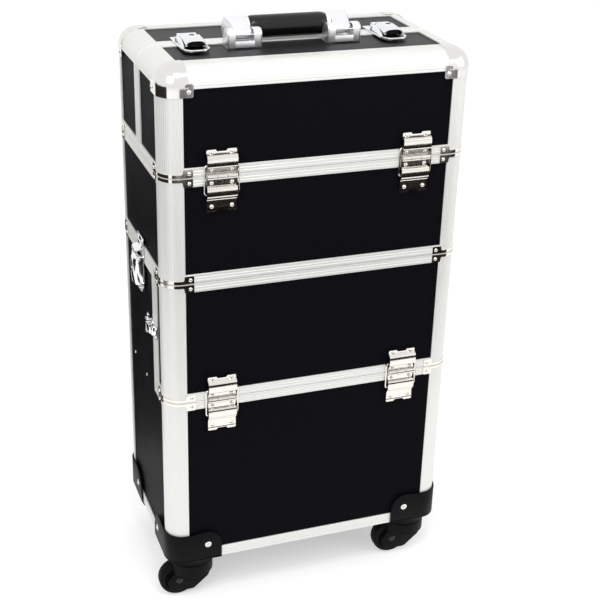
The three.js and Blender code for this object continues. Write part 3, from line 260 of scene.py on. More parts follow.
def fillet(corners, steps=5):
    """Corners as (u, v, radius), each rounded by an arc that meets its two sides."""
    outline = []
    for i, (u, v, radius) in enumerate(corners):
        here = Vector((u, v))
        if radius <= 0:
            outline.append(here)
            continue
        before = (Vector(corners[i - 1][:2]) - here).normalized()
        after = (Vector(corners[(i + 1) % len(corners)][:2]) - here).normalized()
        half = before.angle(after) / 2
        centre = here + (before + after).normalized() * (radius / math.sin(half))
        first = here + before * (radius / math.tan(half)) - centre
        last = here + after * (radius / math.tan(half)) - centre
        turn = first.angle_signed(last)
        for k in range(steps + 1):
            outline.append(centre + first @ Matrix.Rotation(turn * k / steps, 2))
    return outline


def rectangle(u0, u1, v0, v1, radius=0.0, steps=5):
    return fillet([(u0, v0, radius), (u1, v0, radius), (u1, v1, radius), (u0, v1, radius)], steps)


def mirrored(points):
    """A right-hand half outline of (u, v, radius), closed by its mirror image."""
    return points + [(-u, v, r) for u, v, r in points[::-1]]


def ribbon(path, thickness):
    """Closed outline of a bent sheet whose inner side follows a list of (v, w) points."""
    outer = []
    for i, p in enumerate(path):
        before = (p - path[i - 1]).normalized() if i else None
        after = (path[i + 1] - p).normalized() if i + 1 < len(path) else None
        along = ((before or after) + (after or before)).normalized()
        normal = Vector((-along.y, along.x))
        first = before or after
        stretch = 1 / max(0.45, normal.dot(Vector((-first.y, first.x))))
        outer.append(p + normal * thickness * stretch)
    return path + outer[::-1]


# ---- mesh tools
def skin(bm, place, sections, closed=False):
    """A surface along a row of equal closed sections of (u, v, w) points, capped unless the row closes."""
    rings = [[bm.verts.new(at(place, *point)) for point in section] for section in sections]
    pairs = list(zip(rings, rings[1:]))
    if closed:
        pairs.append((rings[-1], rings[0]))
    else:
        bm.faces.new(rings[0][::-1])
        bm.faces.new(rings[-1])
    for a, b in pairs:
        for i in range(len(a)):
            j = (i + 1) % len(a)
            bm.faces.new((a[i], a[j], b[j], b[i]))


def prism(bm, outline, start, end, place):
    """A closed outline of (u, v) points pushed along w from start to end."""
    skin(bm, place, [[(p[0], p[1], d) for p in outline] for d in (start, end)])


def lathe(bm, profile, place, steps=20):
    """A profile of (radius, w) points turned round w; it starts and ends on the axis or closes."""
    turns = [2 * math.pi * k / steps for k in range(steps)]
    rings = []
    for radius, height in profile:
        if radius < 1e-6:
            rings.append([bm.verts.new(at(place, 0, 0, height))])
            continue
        round_points = [(radius * math.cos(t), radius * math.sin(t)) for t in turns]
        rings.append([bm.verts.new(at(place, u, v, height)) for u, v in round_points])
    for a, b in zip(rings, rings[1:]):
        for i in range(steps):
            j = (i + 1) % steps
            corners = (a[i % len(a)], a[j % len(a)], b[j % len(b)], b[i % len(b)])
            bm.faces.new(list(dict.fromkeys(corners)))


def rod(bm, radius, start, end, steps=16, chamfer=0.3):
    w = (end - start).normalized()
    u = w.orthogonal().normalized()
    length = (end - start).length
    r, c = radius, min(chamfer, radius / 2)
    profile = [(0, 0), (r - c, 0), (r, c), (r, length - c), (r - c, length), (0, length)]
    lathe(bm, profile, (start, u, w.cross(u), w), steps)


def pin(bm, place, axis, radius, u0, u1, steps, chamfer=0.3):
    """A rod along u; axis is how far along v and w it lies."""
    rod(bm, radius, at(place, u0, *axis), at(place, u1, *axis), steps, chamfer)


def dome(bm, spot, out, radius=2.2, height=1.3):
    """A domed rivet head on a face that looks along out."""
    u = out.orthogonal().normalized()
    profile = [(0, -0.4), (radius, -0.4), (radius, 0.0)]
    turns = [k * math.pi / 8 for k in range(1, 4)]
    profile += [(radius * math.cos(t), height * math.sin(t)) for t in turns]
    lathe(bm, profile + [(0, height)], (spot, u, out.cross(u), out), 14)


def rivet(bm, place, u, v, w, radius=2.0, height=1.2):
    dome(bm, at(place, u, v, w), place[3], radius, height)


def merge(bm, other, place=None):
    """Adds another mesh, with its own axes laid along those of place."""
    if place:
        for vertex in other.verts:
            vertex.co = at(place, *vertex.co)
    carrier = bpy.data.meshes.new("carrier")
    other.to_mesh(carrier)
    other.free()
    bm.from_mesh(carrier)
    bpy.data.meshes.remove(carrier)


def softened(bm, width, draw, *args):
    """Adds what draw() makes, with its edges rounded."""
    part = bmesh.new()
    draw(part, *args)
    bmesh.ops.recalc_face_normals(part, faces=part.faces)
    sharp = [e for e in part.edges if len(e.link_faces) == 2 and e.calc_face_angle() > math.radians(32)]
    bmesh.ops.bevel(
        part, geom=sharp, offset=width, segments=2, profile=0.5, affect="EDGES", clamp_overlap=True
    )
    merge(bm, part)


def linked(name, data):
    made = bpy.data.objects.new(name, data)
    bpy.context.scene.collection.objects.link(made)
    return made


def solid(name, bm, finish):
    mesh = bpy.data.meshes.new(name)
    bm.to_mesh(mesh)
    bm.free()
    mesh.materials.append(finish)
    return linked(name, mesh)


def piece(name, bm, finish, body, stands_for=(), angle=32):
    """An object from a mesh in millimetres, which rides on a body and stands for CAD nodes."""
    bmesh.ops.recalc_face_normals(bm, faces=bm.faces)
    bmesh.ops.scale(bm, vec=(MM, MM, MM), verts=bm.verts)
    made = solid(name, bm, finish)
    made.data.polygons.foreach_set("use_smooth", [True] * len(made.data.polygons))
    made.data.set_sharp_from_angle(angle=math.radians(angle))
    if stands_for:
        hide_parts(*stands_for)
    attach(made, body)
    return made


def build(name, finish, body, stands_for, draw, *args):
    """A piece from what draw() adds to an empty mesh."""
    bm = bmesh.new()
    draw(bm, *args)
    piece(name, bm, finish, body, stands_for)


# ---- aluminium extrusions
def over_edge(s, flat):
    """Over a rounded edge from one face to the next, s from a start that lies flat before the rounding.
    Gives the distances in from the two faces, and the outward normal."""
    turn = min(max((s - flat) / EDGE, 0.0), math.pi / 2)
    normal = Vector((-math.cos(turn), -math.sin(turn)))
    before = max(flat - s, 0.0)
    after = max(s - flat - ARC, 0.0)
    return Vector((EDGE + after, EDGE + before)) + normal * EDGE, normal


def over_post(s):
    """Over a post from the front face to the side face, as distances in from the side and the front."""
    point, normal = over_edge(s, POST_FLAT)
    return point.yx, normal.yx


def over_top(s):
    """Over a lid's top edge from the face to the top, as distances in from the face and the top."""
    return over_edge(s, TOP_RAIL - EDGE)


def over_flat(s):
    return Vector((s, 0)), Vector((0, 1))


# (pitch, width, depth, margin at both ends) of the grooves
POST_GROOVES = (2.5, 0.9, 0.32, 1.6)
RAIL_GROOVES = (3.2, 1.3, 0.5, 2.6)
TOP_GROOVES = (2.9, 0.6, 0.14, 1.8)


def grooves(length, pitch, width, depth, margin):
    """(distance, height) over a strip with V grooves cut across it at an even pitch."""
    count = int((length - 2 * margin) / pitch) + 1
    first = (length - (count - 1) * pitch) / 2
    strip = [(0.0, -0.3), (0.3, 0.0)]
    for k in range(count):
        middle = first + k * pitch
        strip += [(middle - width / 2, 0.0), (middle, -depth), (middle + width / 2, 0.0)]
    return strip + [(length - 0.3, 0.0), (length, -0.3)]


def strip_section(strip, path, thickness=SKIN):
    """Closed section of a strip of (distance, height) points: its outside and its plain inside."""
    outer = [path(s)[0] + path(s)[1] * height for s, height in strip]
    inner = [path(s)[0] - path(s)[1] * thickness for s, height in strip[::-1]]
    return outer + inner


def post(bm, corner, z0, z1):
    section = strip_section(grooves(2 * POST_FLAT + ARC, *POST_GROOVES), over_post)
    prism(bm, section, z0, z1, corner_place(*corner))


def strip_on(bm, width, ends, place):
    """A flat grooved strip: u across it, v out of the face, w along it."""
    section = strip_section(grooves(width, *RAIL_GROOVES), over_flat)
    prism(bm, section, *ends, place)


def front_rail(bm, sy, z0, z1):
    strip_on(bm, z1 - z0, (POST - SIDE, SIDE - POST), axes((0, sy * BACK, z0), Z, sy * Y, X))


def side_rail(bm, sx, ends, z0, z1):
    strip_on(bm, z1 - z0, ends, axes((sx * SIDE, 0, z0), Z, sx * X, Y))


def side_upright(bm, sx, ends, z0, z1):
    strip_on(bm, ends[1] - ends[0], (z0, z1), axes((sx * SIDE, ends[0], 0), Y, sx * X, Z))


def ring_of_rails(bm, z0, z1):
    """Rails on all four sides, between the posts."""
    for side in (-1, 1):
        front_rail(bm, side, z0, z1)
        side_rail(bm, side, (POST - BACK, BACK - POST), z0, z1)


def upper_frame(bm):
    z0, z1 = SEAM_UPPER + HALF_GAP, SEAM_LID - HALF_GAP
    for corner in CORNERS.values():
        post(bm, corner, z0, z1)
    ring_of_rails(bm, z0, z0 + RAIL)
    ring_of_rails(bm, z1 - RAIL, z1)


def lower_frame(bm):
    sill, z1 = SEAM_DOOR - HALF_GAP, SEAM_UPPER - HALF_GAP
    for sx, sy in CORNERS.values():
        post(bm, (sx, sy), BASE, sill if sy < 0 else z1)
    ring_of_rails(bm, BASE, BASE + BASE_RAIL)
    front_rail(bm, -1, sill - RAIL, sill)
    front_rail(bm, 1, z1 - RAIL, z1)
    for sx in (-1, 1):
        side_rail(bm, sx, (POST - BACK, DOORWAY + JAMB), sill - RAIL, sill)
        side_upright(bm, sx, (DOORWAY + HALF_GAP, DOORWAY + JAMB), SEAM_DOOR, z1 - RAIL)
        side_rail(bm, sx, (DOORWAY + HALF_GAP, BACK - POST), z1 - RAIL, z1)


def cut_to_swing(bm, top):
    """Lowers what stands past the arc that the door's top edge swings through."""
    hinge_y = -BACK - HINGE_PROUD
    for vertex in bm.verts:
        arc_top = SEAM_DOOR + math.sqrt((top - SEAM_DOOR) ** 2 - (vertex.co.y - hinge_y) ** 2)
        vertex.co.z = min(vertex.co.z, arc_top)


def door_frame(bm):
    z0, z1 = SEAM_DOOR + HALF_GAP, SEAM_UPPER - HALF_GAP
    for low, high in ((z0, z0 + RAIL), (z1 - RAIL, z1)):
        front_rail(bm, -1, low, high)
        for sx in (-1, 1):
            side_rail(bm, sx, (POST - BACK, DOORWAY - HALF_GAP), low, high)
    for sx in (-1, 1):
        post(bm, (sx, -1), z0, z1)
        side_upright(bm, sx, (DOORWAY - JAMB, DOORWAY - HALF_GAP), z0 + RAIL, z1 - RAIL)
    cut_to_swing(bm, z1)


def top_edge(bm, width_on_top, ends, place):
    length = TOP_RAIL - EDGE + ARC + width_on_top - EDGE
    prism(bm, strip_section(grooves(length, *TOP_GROOVES), over_top), *ends, place)


def split_lip(bm, sy, place):
    """The raised lip over a lid's edge beside the split; the front lid's stands higher."""
    length = TOP_RAIL - EDGE + ARC + BORDER_SIDE - EDGE
    rise = 0.8 if sy < 0 else 0.35
    level = [(0.8 + (length - 1.6) * k / 30, rise) for k in range(31)]
    strip = [(0.2, 0.0), *level, (length - 0.2, 0.0)]
    prism(bm, strip_section(strip, over_top, 0.2), *span(sy, HALF_GAP + 0.1, 3.2), place)


def lid_frame(bm, sy):
    z0 = SEAM_LID + HALF_GAP
    for sx in (-1, 1):
        post(bm, (sx, sy), z0, TOP - EDGE)
        side_rail(bm, sx, span(sy, BACK - POST, HALF_GAP), z0, z0 + RAIL)
        side_upright(bm, sx, span(sy, SPLIT_RAIL, HALF_GAP), z0 + RAIL, TOP - TOP_RAIL)
        side_edge = axes((sx * SIDE, 0, TOP), -sx * X, -Z, Y)
        top_edge(bm, BORDER_SIDE, span(sy, BACK - EDGE, HALF_GAP), side_edge)
        split_lip(bm, sy, side_edge)
    front_rail(bm, sy, z0, z0 + RAIL)
    top_edge(bm, BORDER_FRONT, (EDGE - SIDE, SIDE - EDGE), axes((0, sy * BACK, TOP), -sy * Y, -Z, X))
    half = SIDE - BORDER_SIDE
    strip_on(bm, SPLIT_RAIL - HALF_GAP, (-half, half), axes((0, sy * HALF_GAP, TOP), sy * Y, Z, X))


def make_frames():
    build("upper_case_extrusions", ALUMINIUM, "upper_case", ["upper_frame"], upper_frame)
    build("lower_case_extrusions", ALUMINIUM, "lower_case", ["lower_frame"], lower_frame)
    build("door_extrusions", ALUMINIUM, "door", ["door_frame"], door_frame)
    for label, sy in LIDS.items():
        build(f"{label}_lid_extrusions", ALUMINIUM, f"{label}_lid", [f"{label}_lid_frame"], lid_frame, sy)


# ---- chrome straps over the seams
def wrap(bm, columns, corner, z, inner=0.05, outer=STRAP_OUT):
    """A sheet bent round a corner: columns are (s, z low, z high) along the corner's plan."""
    sections = []
    for s, low, high in columns:
        point, out = over_post(s)
        edges = [(outer, low), (outer, high), (inner, high), (inner, low)]
        sections.append([(*(point + out * proud), height) for proud, height in edges])
    skin(bm, corner_place(*corner, z), sections)


BAND = 3.5
TAB_END = 34.6
TAB_START = 23.0
TAB_RIVET = 30.2
# The tab's rounded end: (in from the end, down from the top)
TAB_TIP = [(0.161, 0.161), (0.6, 0.6), (1.2, 0.0)]


def strap_columns(near, tall, sign):
    """A thin band round the post with a tall tab on the front face and one on the side face."""
    start, end = POST - TAB_END, POST - TAB_START
    tab = [(start + inward, tall - down) for inward, down in TAB_TIP]
    tab += [(end - 1.5, tall), (end - 0.5, tall - 1.2), (end, BAND + 0.8), (end + 1.2, BAND)]
    round_the_post = [(POST_FLAT + ARC * k / 14, BAND) for k in range(15)]
    other_tab = [(2 * POST_FLAT + ARC - s, height) for s, height in tab[::-1]]
    return [(s, *span(sign, near, near + height)) for s, height in tab + round_the_post + other_tab]


def seam_strap(bm, corner, z, sign):
    near, tall = (0.7, 9.0) if sign > 0 else (0.9, 9.7)
    wrap(bm, strap_columns(near, tall, sign), corner, z)
    sx, sy = corner
    height = z + sign * (near + tall - 4.6)
    dome(bm, Vector((sx * (SIDE - TAB_RIVET), sy * (BACK + STRAP_OUT), height)), sy * Y)
    dome(bm, Vector((sx * (SIDE + STRAP_OUT), sy * (BACK - TAB_RIVET), height)), sx * X)


# For each body: (front corners -1 and back corners 1, the seam, 1 above the seam or -1 below it)
STRAPS = {
    "front_lid": [((-1,), SEAM_LID, 1)],
    "rear_lid": [((1,), SEAM_LID, 1)],
    "upper_case": [((-1, 1), SEAM_LID, -1), ((-1, 1), SEAM_UPPER, 1)],
    "door": [((-1,), SEAM_UPPER, -1), ((-1,), SEAM_DOOR, 1)],
    "lower_case": [((1,), SEAM_UPPER, -1), ((-1,), SEAM_DOOR, -1)],
}


def body_straps(bm, rows):
    for ends, seam, sign in rows:
        for corner in CORNERS.values():
            if corner[1] in ends:
                seam_strap(bm, corner, seam, sign)


def make_straps():
    for body, rows in STRAPS.items():
        build(f"{body}_corner_straps", CHROME, body, [], body_straps, rows)


# ---- ball corners of the lids
CAP_REACH = 31.0
CAP_TAB = 36.0
CAP_STEPS = 12


def on_rounded_corner(p, out):
    """A point on the sharp corner's faces moved onto the rounded corner, out beyond its surface.
    p is the distances in from the side, the front and the top."""
    core = Vector([max(c, EDGE) for c in p])
    return core - (core - p).normalized() * (EDGE + out)


def cap_face(bm, fixed, seen):
    """One of the corner cap's three faces, as a grid of points on the rounded corner."""
    first, second = [k for k in range(3) if k != fixed]

    def vertex_at(i, j):
        p = Vector((0, 0, 0))
        p[first] = CAP_REACH * i / CAP_STEPS
        p[second] = CAP_REACH * j / CAP_STEPS
        point = on_rounded_corner(p, 1.0)
        key = tuple(round(c, 3) for c in point)
        if key not in seen:
            seen[key] = bm.verts.new(point)
        return seen[key]

    for i in range(CAP_STEPS):
        for j in range(CAP_STEPS):
            cell = ((i, j), (i + 1, j), (i + 1, j + 1), (i, j + 1))
            corners = dict.fromkeys(vertex_at(*corner) for corner in cell)
            if len(corners) > 2:
                bm.faces.new(list(corners))


def ball_cap(bm, corner):
    """The pressed cap over a lid's top corner."""
    part = bmesh.new()
    seen = {}
    for fixed in range(3):
        cap_face(part, fixed, seen)
    bmesh.ops.recalc_face_normals(part, faces=part.faces)
    bmesh.ops.solidify(part, geom=part.faces[:], thickness=0.9)
    bmesh.ops.recalc_face_normals(part, faces=part.faces)
    *place, up = corner_place(*corner, TOP)
    merge(bm, part, (*place, -up))


def ball_corners(bm, sy):
    """Two caps, each with a riveted tab on the front or back face and one on the side face."""
    low = TOP - CAP_REACH
    for sx in (-1, 1):
        ball_cap(bm, (sx, sy))
        faces = (
            (SIDE, axes((0, sy * BACK, 0), sx * X, Z, sy * Y)),
            (BACK, axes((sx * SIDE, 0, 0), sy * Y, Z, sx * X)),
        )
        for edge, place in faces:
            tab = rectangle(edge - CAP_TAB, edge - CAP_REACH + 4, low, low + 14.5, 2.0)
            prism(bm, tab, 0.05, 0.95, place)
            rivet(bm, place, edge - CAP_REACH, low + 6, 1.0, 2.6, 1.5)


def make_ball_corners():
    for label, sy in LIDS.items():
        build(f"{label}_lid_ball_corners", CAP, f"{label}_lid", [], ball_corners, sy)


# ---- stop hinges
LEAF = 34.0
KNUCKLE = 3.2
HINGE_PROUD = KNUCKLE + GAP
HINGE_AXIS = (0, HINGE_PROUD)
SHEET = 1.4
UPPER_LEAF = 30.0
LOWER_LEAF = 41.0
RING_HALF = 19.1
RING_DROP = 20.5
RING_TOP = 12.5
WIRE = 1.15
RIVET_COLUMN = 11.5


def leaf_plate(bm, place, root, tip, notch):
    """The leaf's flat end, with two tabs and a notch between them."""
    half = LEAF / 2
    inner = half - 10.5
    corners = [(half, root, 0), (half, tip, 1.5), (inner, tip, 1.2), (inner - 1, tip - notch, 1)]
    prism(bm, fillet(mirrored(corners), 4), GAP, GAP + SHEET, place)


def hinge_sheet(bm, place, path):
    prism(bm, ribbon(fillet(path, 4), SHEET), -LEAF / 2, LEAF / 2, across(place))


def rivet_row(bm, place, v):
    for side in (-1, 1):
        rivet(bm, place, side * RIVET_COLUMN, v, GAP + SHEET, 2.5, 1.6)


def upper_leaf(bm, place):
    hinge_sheet(bm, place, [
        (HINGE_PROUD, GAP, 0), (10.6, GAP, 0.5), (11.6, 5.4, 1.5), (22.0, 5.4, 2.5), (25.0, GAP, 1.0),
        (26.0, GAP, 0),
    ])
    leaf_plate(bm, place, 25.5, UPPER_LEAF, 2.2)
    for side in (-1, 1):
        pin(bm, place, HINGE_AXIS, KNUCKLE, *span(side, LEAF / 6 + GAP, LEAF / 2), 20, 0.4)
    rivet_row(bm, place, 7.2)
    rivet_row(bm, place, UPPER_LEAF - 3.2)


def lower_leaf(bm, place):
    hinge_sheet(bm, place, [
        (3.0 - LOWER_LEAF, GAP, 0), (-26.5, GAP, 0.5), (-25.9, 1.6, 0.6), (-23.6, 1.6, 0.6),
        (-22.6, 4.0, 1.6), (-13.0, 4.0, 1.8), (-11.9, GAP, 0.6), (-HINGE_PROUD, GAP, 0),
    ])
    leaf_plate(bm, place, 4.0 - LOWER_LEAF, -LOWER_LEAF, -2.2)
    pin(bm, place, HINGE_AXIS, KNUCKLE, -LEAF / 6, LEAF / 6, 20, 0.4)
    pin(bm, place, HINGE_AXIS, 1.4, -LEAF / 2 - 0.4, LEAF / 2 + 0.4, 14)
    rivet_row(bm, place, -7.6)
    rivet_row(bm, place, 6.5 - LOWER_LEAF)


def wire_ring(bm, place):
    """The round wire ring, closed, through the two humps."""
    loop = rectangle(-RING_HALF, RING_HALF, -RING_DROP, RING_TOP, 3.0, 6)
    turns = [2 * math.pi * k / 10 for k in range(10)]
    wire = [(WIRE * math.cos(t), WIRE * math.sin(t)) for t in turns]
    sections = []
    for i, p in enumerate(loop):
        along = (loop[(i + 1) % len(loop)] - loop[i - 1]).normalized()
        sections.append([(p.x - along.y * out, p.y + along.x * out, 1.5 + up) for out, up in wire])
    skin(bm, place, sections, closed=True)


# For each pair: (the seam it bridges, front or back, body of the upper leaf, body of the lower leaf)
HINGES = {
    "door": (SEAM_DOOR, -1, "door", "lower_case"),
    "front_lid": (SEAM_LID, -1, "front_lid", "upper_case"),
    "rear_lid": (SEAM_LID, 1, "rear_lid", "upper_case"),
}


def make_hinges():
    """The rear lid's leaves stand for no node, because the CAD model fuses them with the boards."""
    for label, (seam, sy, upper_body, lower_body) in HINGES.items():
        parts = {
            "top": ("upper_leaf", upper_leaf, upper_body),
            "foot": ("lower_leaf", lower_leaf, lower_body),
            "wire": ("ring", wire_ring, f"{label}_hinge_rings"),
        }
        for name, side in SIDES.items():
            place = axes((side * HINGE_X, sy * BACK, seam), -sy * X, Z, sy * Y)
            for part, (in_cad, draw, body) in parts.items():
                node = f"{label}_hinge_{in_cad}_{name}"
                stands_for = [node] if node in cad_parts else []
                build(f"{label}_hinge_{part}_{name}", CHROME, body, stands_for, draw, place)


# ---- key latches
LATCH = 30.0
LATCH_TAIL = 49.5
KEEPER = 21.0
LATCH_PIVOT = (-6.0, 6.3)
PLATE_TOP = GAP + 1.5
KEYHOLE_AT = (-21, 12.85)
# Right-hand halves of the plates' outlines, as (u, v, radius)
LATCH_PLATE = [(13.5, -0.5, 0.6), (LATCH / 2, -2.5, 1.5), (LATCH / 2, -41.5, 9), (9, -LATCH_TAIL, 5)]
KEEPER_PLATE = [(13.5, 0.5, 0.6), (LATCH / 2, 2.5, 1.5), (LATCH / 2, KEEPER, 3)]
# (v, height) along the side walls
FLANGE_STATIONS = [(-1.5, 8.6), (-8, 10.2), (-22, 8.8), (-34, 5.2), (-38.5, 2.2)]
# (v, half width, foot, top) of the domed lever from its pivot to its open front
LEVER_STATIONS = [
    (-2.4, 9.2, 3.0, 6.6), (-3.0, 10.2, 2.8, 8.8), (-4.8, 10.8, 2.8, 10.8), (-8.5, 11.2, 2.8, 12.4),
    (-14, 11.2, 2.8, 13.0), (-24, 11.2, 2.8, 13.0), (-31, 11.2, 3.2, 12.6), (-36.5, 11.0, 4.2, 11.8),
    (-38.5, 10.8, 5.0, 11.3),
]


def plate(bm, place, corners, steps=4):
    """A flat plate on a face, from the right-hand half of its outline."""
    prism(bm, fillet(mirrored(corners), steps), GAP, PLATE_TOP, place)


def rivet_pair(bm, place, u, v, radius=2.0):
    for side in (-1, 1):
        rivet(bm, place, side * u, v, PLATE_TOP, radius)


def latch_rim(bm, place):
    """The plate's upturned edge round its front end, like the rim of a tray."""
    half = LATCH / 2
    path = fillet(mirrored([(half, -36, 0), (half, -41.5, 9), (9, -LATCH_TAIL, 5)])[::-1], 6)
    prism(bm, ribbon(path, 1.2), GAP, 3.6, place)


def latch_flanges(bm, place):
    """Side walls that lean in towards the lever."""
    half = LATCH / 2
    for side in (-1, 1):
        sections = []
        for along, high in FLANGE_STATIONS:
            top = half - 2.6 * (high - GAP) / 9
            wall = [(half, GAP), (top, high), (top - 1.3, high), (half - 1.5, GAP)]
            sections.append([(side * u, along, w) for u, w in wall])
        skin(bm, place, sections)


def latch_base(bm, place):
    softened(bm, 0.35, plate, place, LATCH_PLATE, 6)
    softened(bm, 0.3, latch_flanges, place)
    softened(bm, 0.35, latch_rim, place)
    pin(bm, place, LATCH_PIVOT, 2.0, 1.0 - LATCH / 2, LATCH / 2 - 1.0, 18, 0.5)
    rivet_pair(bm, place, 6, -46.5, 1.6)


def arch(half, foot, top, steps=16):
    """A squared-off arch as (u, w) points, from its right foot to its left one."""
    points = []
    for k in range(steps + 1):
        turn = math.pi * k / steps
        c, s = math.cos(turn), max(0.0, math.sin(turn))
        points.append((half * math.copysign(abs(c) ** 0.62, c), foot + (top - foot) * s ** 0.62))
    return points


def lever_cover(bm, place):
    """A pressed dome, open below and at its front, where a finger lifts it."""
    sections = []
    for along, half, foot, top in LEVER_STATIONS:
        sheet = arch(half, foot, top) + arch(half - 1.1, foot, top - 1.1)[::-1]
        sections.append([(u, along, w) for u, w in sheet])
    skin(bm, place, sections)


def latch_lever(bm, place):
    """The dome, its two bosses on the pin and the raised rim of the keyhole."""
    lever_cover(bm, place)
    for side in (-1, 1):
        pin(bm, place, LATCH_PIVOT, 2.9, *span(side, 6.5, 9.6), 20, 0.5)
    rim = [(0, 0), (3.8, 0), (3.8, 0.3), (3.5, 0.45), (3.2, 0.45), (3.1, 0.3), (0, 0.3)]
    lathe(bm, rim, moved(place, 0, *KEYHOLE_AT), 28)


def keyhole(bm, place):
    """The dark barrel in the rim and the dark body of the lock inside the dome."""
    lathe(bm, [(0, 0), (3.0, 0), (3.0, 0.5), (0, 0.55)], moved(place, 0, *KEYHOLE_AT), 24)
    body = [(-12, 3.4), (-12, 10.2), (-28, 11.2), (-34, 10.2), (-34, 4.2)]
    prism(bm, body, -8.8, 8.8, across(place))


def keeper_hook(bm, place):
    foot = PLATE_TOP - 0.5
    path = fillet([(1.0, 8.2, 0), (4.2, 8.2, 1.5), (6.4, foot, 1.8), (12.5, foot, 0)], 5)
    prism(bm, ribbon(path, 1.5), 4 - LATCH / 2, LATCH / 2 - 4, across(place))


def latch_keeper(bm, place):
    softened(bm, 0.35, plate, place, KEEPER_PLATE)
    softened(bm, 0.3, keeper_hook, place)
    rivet_pair(bm, place, 9, 16)


def latch_places():
    """Each key latch: the pattern of its names, the bodies of plate and keeper, and its axes."""
    for name, side in SIDES.items():
        middle = middle_mm(f"top_latch_base_{name}").x
        yield f"top_latch_{{}}_{name}", "front_lid", "rear_lid", axes((middle, 0, TOP), X, Y, Z)
        on_side = axes((side * SIDE, 0, SEAM_UPPER), side * Y, Z, side * X)
        yield f"side_latch_{{}}_{name}", "lower_case", "upper_case", on_side


def make_key_latches():
    for pattern, base_body, keeper_body, place in latch_places():
        base, lever = pattern.format("base"), pattern.format("lever")
        build(pattern.format("plate"), BRIGHT, base_body, [base], latch_base, place)
        build(pattern.format("cover"), BRIGHT, lever, [lever], latch_lever, place)
        build(pattern.format("keyhole"), BLACK, lever, [], keyhole, place)
        build(pattern.format("keeper"), BRIGHT, keeper_body, [], latch_keeper, place)


# ---- door latches
CATCH_PIVOT = (-16.0, 4.6)
CATCH_PLATE = [
    (8.5, -0.5, 1.5), (10, -5, 2.5), (9, -11, 3), (7.5, -16, 4), (9, -21, 3), (10, -27, 3), (8, -32, 3),
]
CATCH_KEEPER_PLATE = [(8.5, 0.5, 1.5), (10, 5, 2.5), (9, 9, 2), (7, 14, 3)]


def catch_ears(bm, place):
    profile = fillet([(-20, GAP, 0), (-19.6, 7.6, 3.4), (-12.4, 7.6, 3.4), (-12, GAP, 0)], 6)
    for side in (-1, 1):
        prism(bm, profile, *span(side, 7.3, 9.2), across(place))


def catch_base(bm, place):
    softened(bm, 0.3, plate, place, CATCH_PLATE)
    softened(bm, 0.3, catch_ears, place)
    pin(bm, place, CATCH_PIVOT, 1.3, -10, 10, 14)
    rivet_pair(bm, place, 6, -27.5, 1.8)
    rivet_pair(bm, place, 6.5, -4.5, 1.8)


def catch_tongue(bm, place):
    profile = fillet([
        (-18.4, 3.6, 1.2), (-18.0, 6.9, 2.0), (-10, 7.3, 6), (-4, 6.2, 3),
        (-1.6, 4.6, 0.8), (-1.6, 2.7, 0.6), (-17.0, 2.2, 1),
    ], 5)
    prism(bm, profile, -6.5, 6.5, across(place))


def catch_lever(bm, place):
    """The tongue with two raised ribs along it."""
    softened(bm, 0.5, catch_tongue, place)
    for side in (-1, 1):
        rod(bm, 0.9, at(place, side * 4.5, -14, 7.0), at(place, side * 4.5, -3, 5.8), 10, 0.3)


def catch_hook(bm, place):
    profile = fillet([(0.8, GAP, 0), (0.8, 5.6, 1.4), (4.6, 5.4, 1.6), (6.8, GAP, 0)], 5)
    prism(bm, profile, -5, 5, across(place))


def catch_keeper(bm, place):
    softened(bm, 0.3, plate, place, CATCH_KEEPER_PLATE)
    softened(bm, 0.4, catch_hook, place)
    rivet_pair(bm, place, 5.5, 10, 1.7)


def make_door_latches():
    height = middle_mm("door_latch_lever_left").z
    for name, side in SIDES.items():
        place = axes((side * SIDE, DOORWAY, height), side * Z, -Y, side * X)
        lever = f"door_latch_lever_{name}"
        build(f"door_latch_plate_{name}", BRIGHT, "lower_case", [], catch_base, place)
        build(f"door_latch_tongue_{name}", BRIGHT, lever, [lever], catch_lever, place)
        build(f"door_latch_keeper_{name}", BRIGHT, "door", [], catch_keeper, place)


# ---- carry handle
BRACKET_HALF = 19.5
BRACKET_FRONT = -37.5
BRACKET_BACK = -16.5
BRACKET_TOP = 20.0
BRACKET_SEAT = -1.6
BRACKET_SHEET = 1.8
EAR = 9.0
PIVOT = (-27.5, 13.0)
PIVOT_BOSS = 5.0
GRIP_AXIS = (-4.5, 14.5)
GRIP_R = 12.8
GRIP_HALF = 45.0
ARM_HALF = 10.0
ARM_FLARE = 4.0


def handle_places():
    """Axes at the handle's middle on the lid's top, and how far along u each bracket stands."""
    brackets = {name: middle_mm(f"handle_bracket_{name}").x for name in SIDES}
    middle = sum(brackets.values()) / 2
    return axes((middle, 0, TOP), X, Y, Z), {name: x - middle for name, x in brackets.items()}


def pressed_ears(bm, place):
    """The bent sheet of each ear, and the cheek that closes its outer side."""
    front, back = BRACKET_FRONT, BRACKET_BACK
    path = fillet([
        (back, BRACKET_SEAT, 0), (back - 1.5, 12, 9), (back - 8, BRACKET_TOP, 7), (front, BRACKET_TOP, 6.5),
        (front, BRACKET_SEAT, 0),
    ], 8)
    for side in (-1, 1):
        sheet = ribbon(path, BRACKET_SHEET)
        prism(bm, sheet, *span(side, BRACKET_HALF - EAR, BRACKET_HALF), across(place))
        prism(bm, path, *span(side, BRACKET_HALF - BRACKET_SHEET, BRACKET_HALF - 0.1), across(place))


def bracket_front(bm, place):
    """The bars below and above the window, and the foot on the board."""
    inner = BRACKET_HALF - EAR + 1
    for low, high in ((BRACKET_SEAT, 7.0), (13.2, 14.6)):
        bar = rectangle(BRACKET_FRONT, BRACKET_FRONT + BRACKET_SHEET, low, high)
        prism(bm, bar, -inner, inner, across(place))
    foot = rectangle(-BRACKET_HALF, BRACKET_HALF, BRACKET_FRONT, BRACKET_BACK, 1.0)
    prism(bm, foot, BRACKET_SEAT, BRACKET_SEAT + BRACKET_SHEET, place)


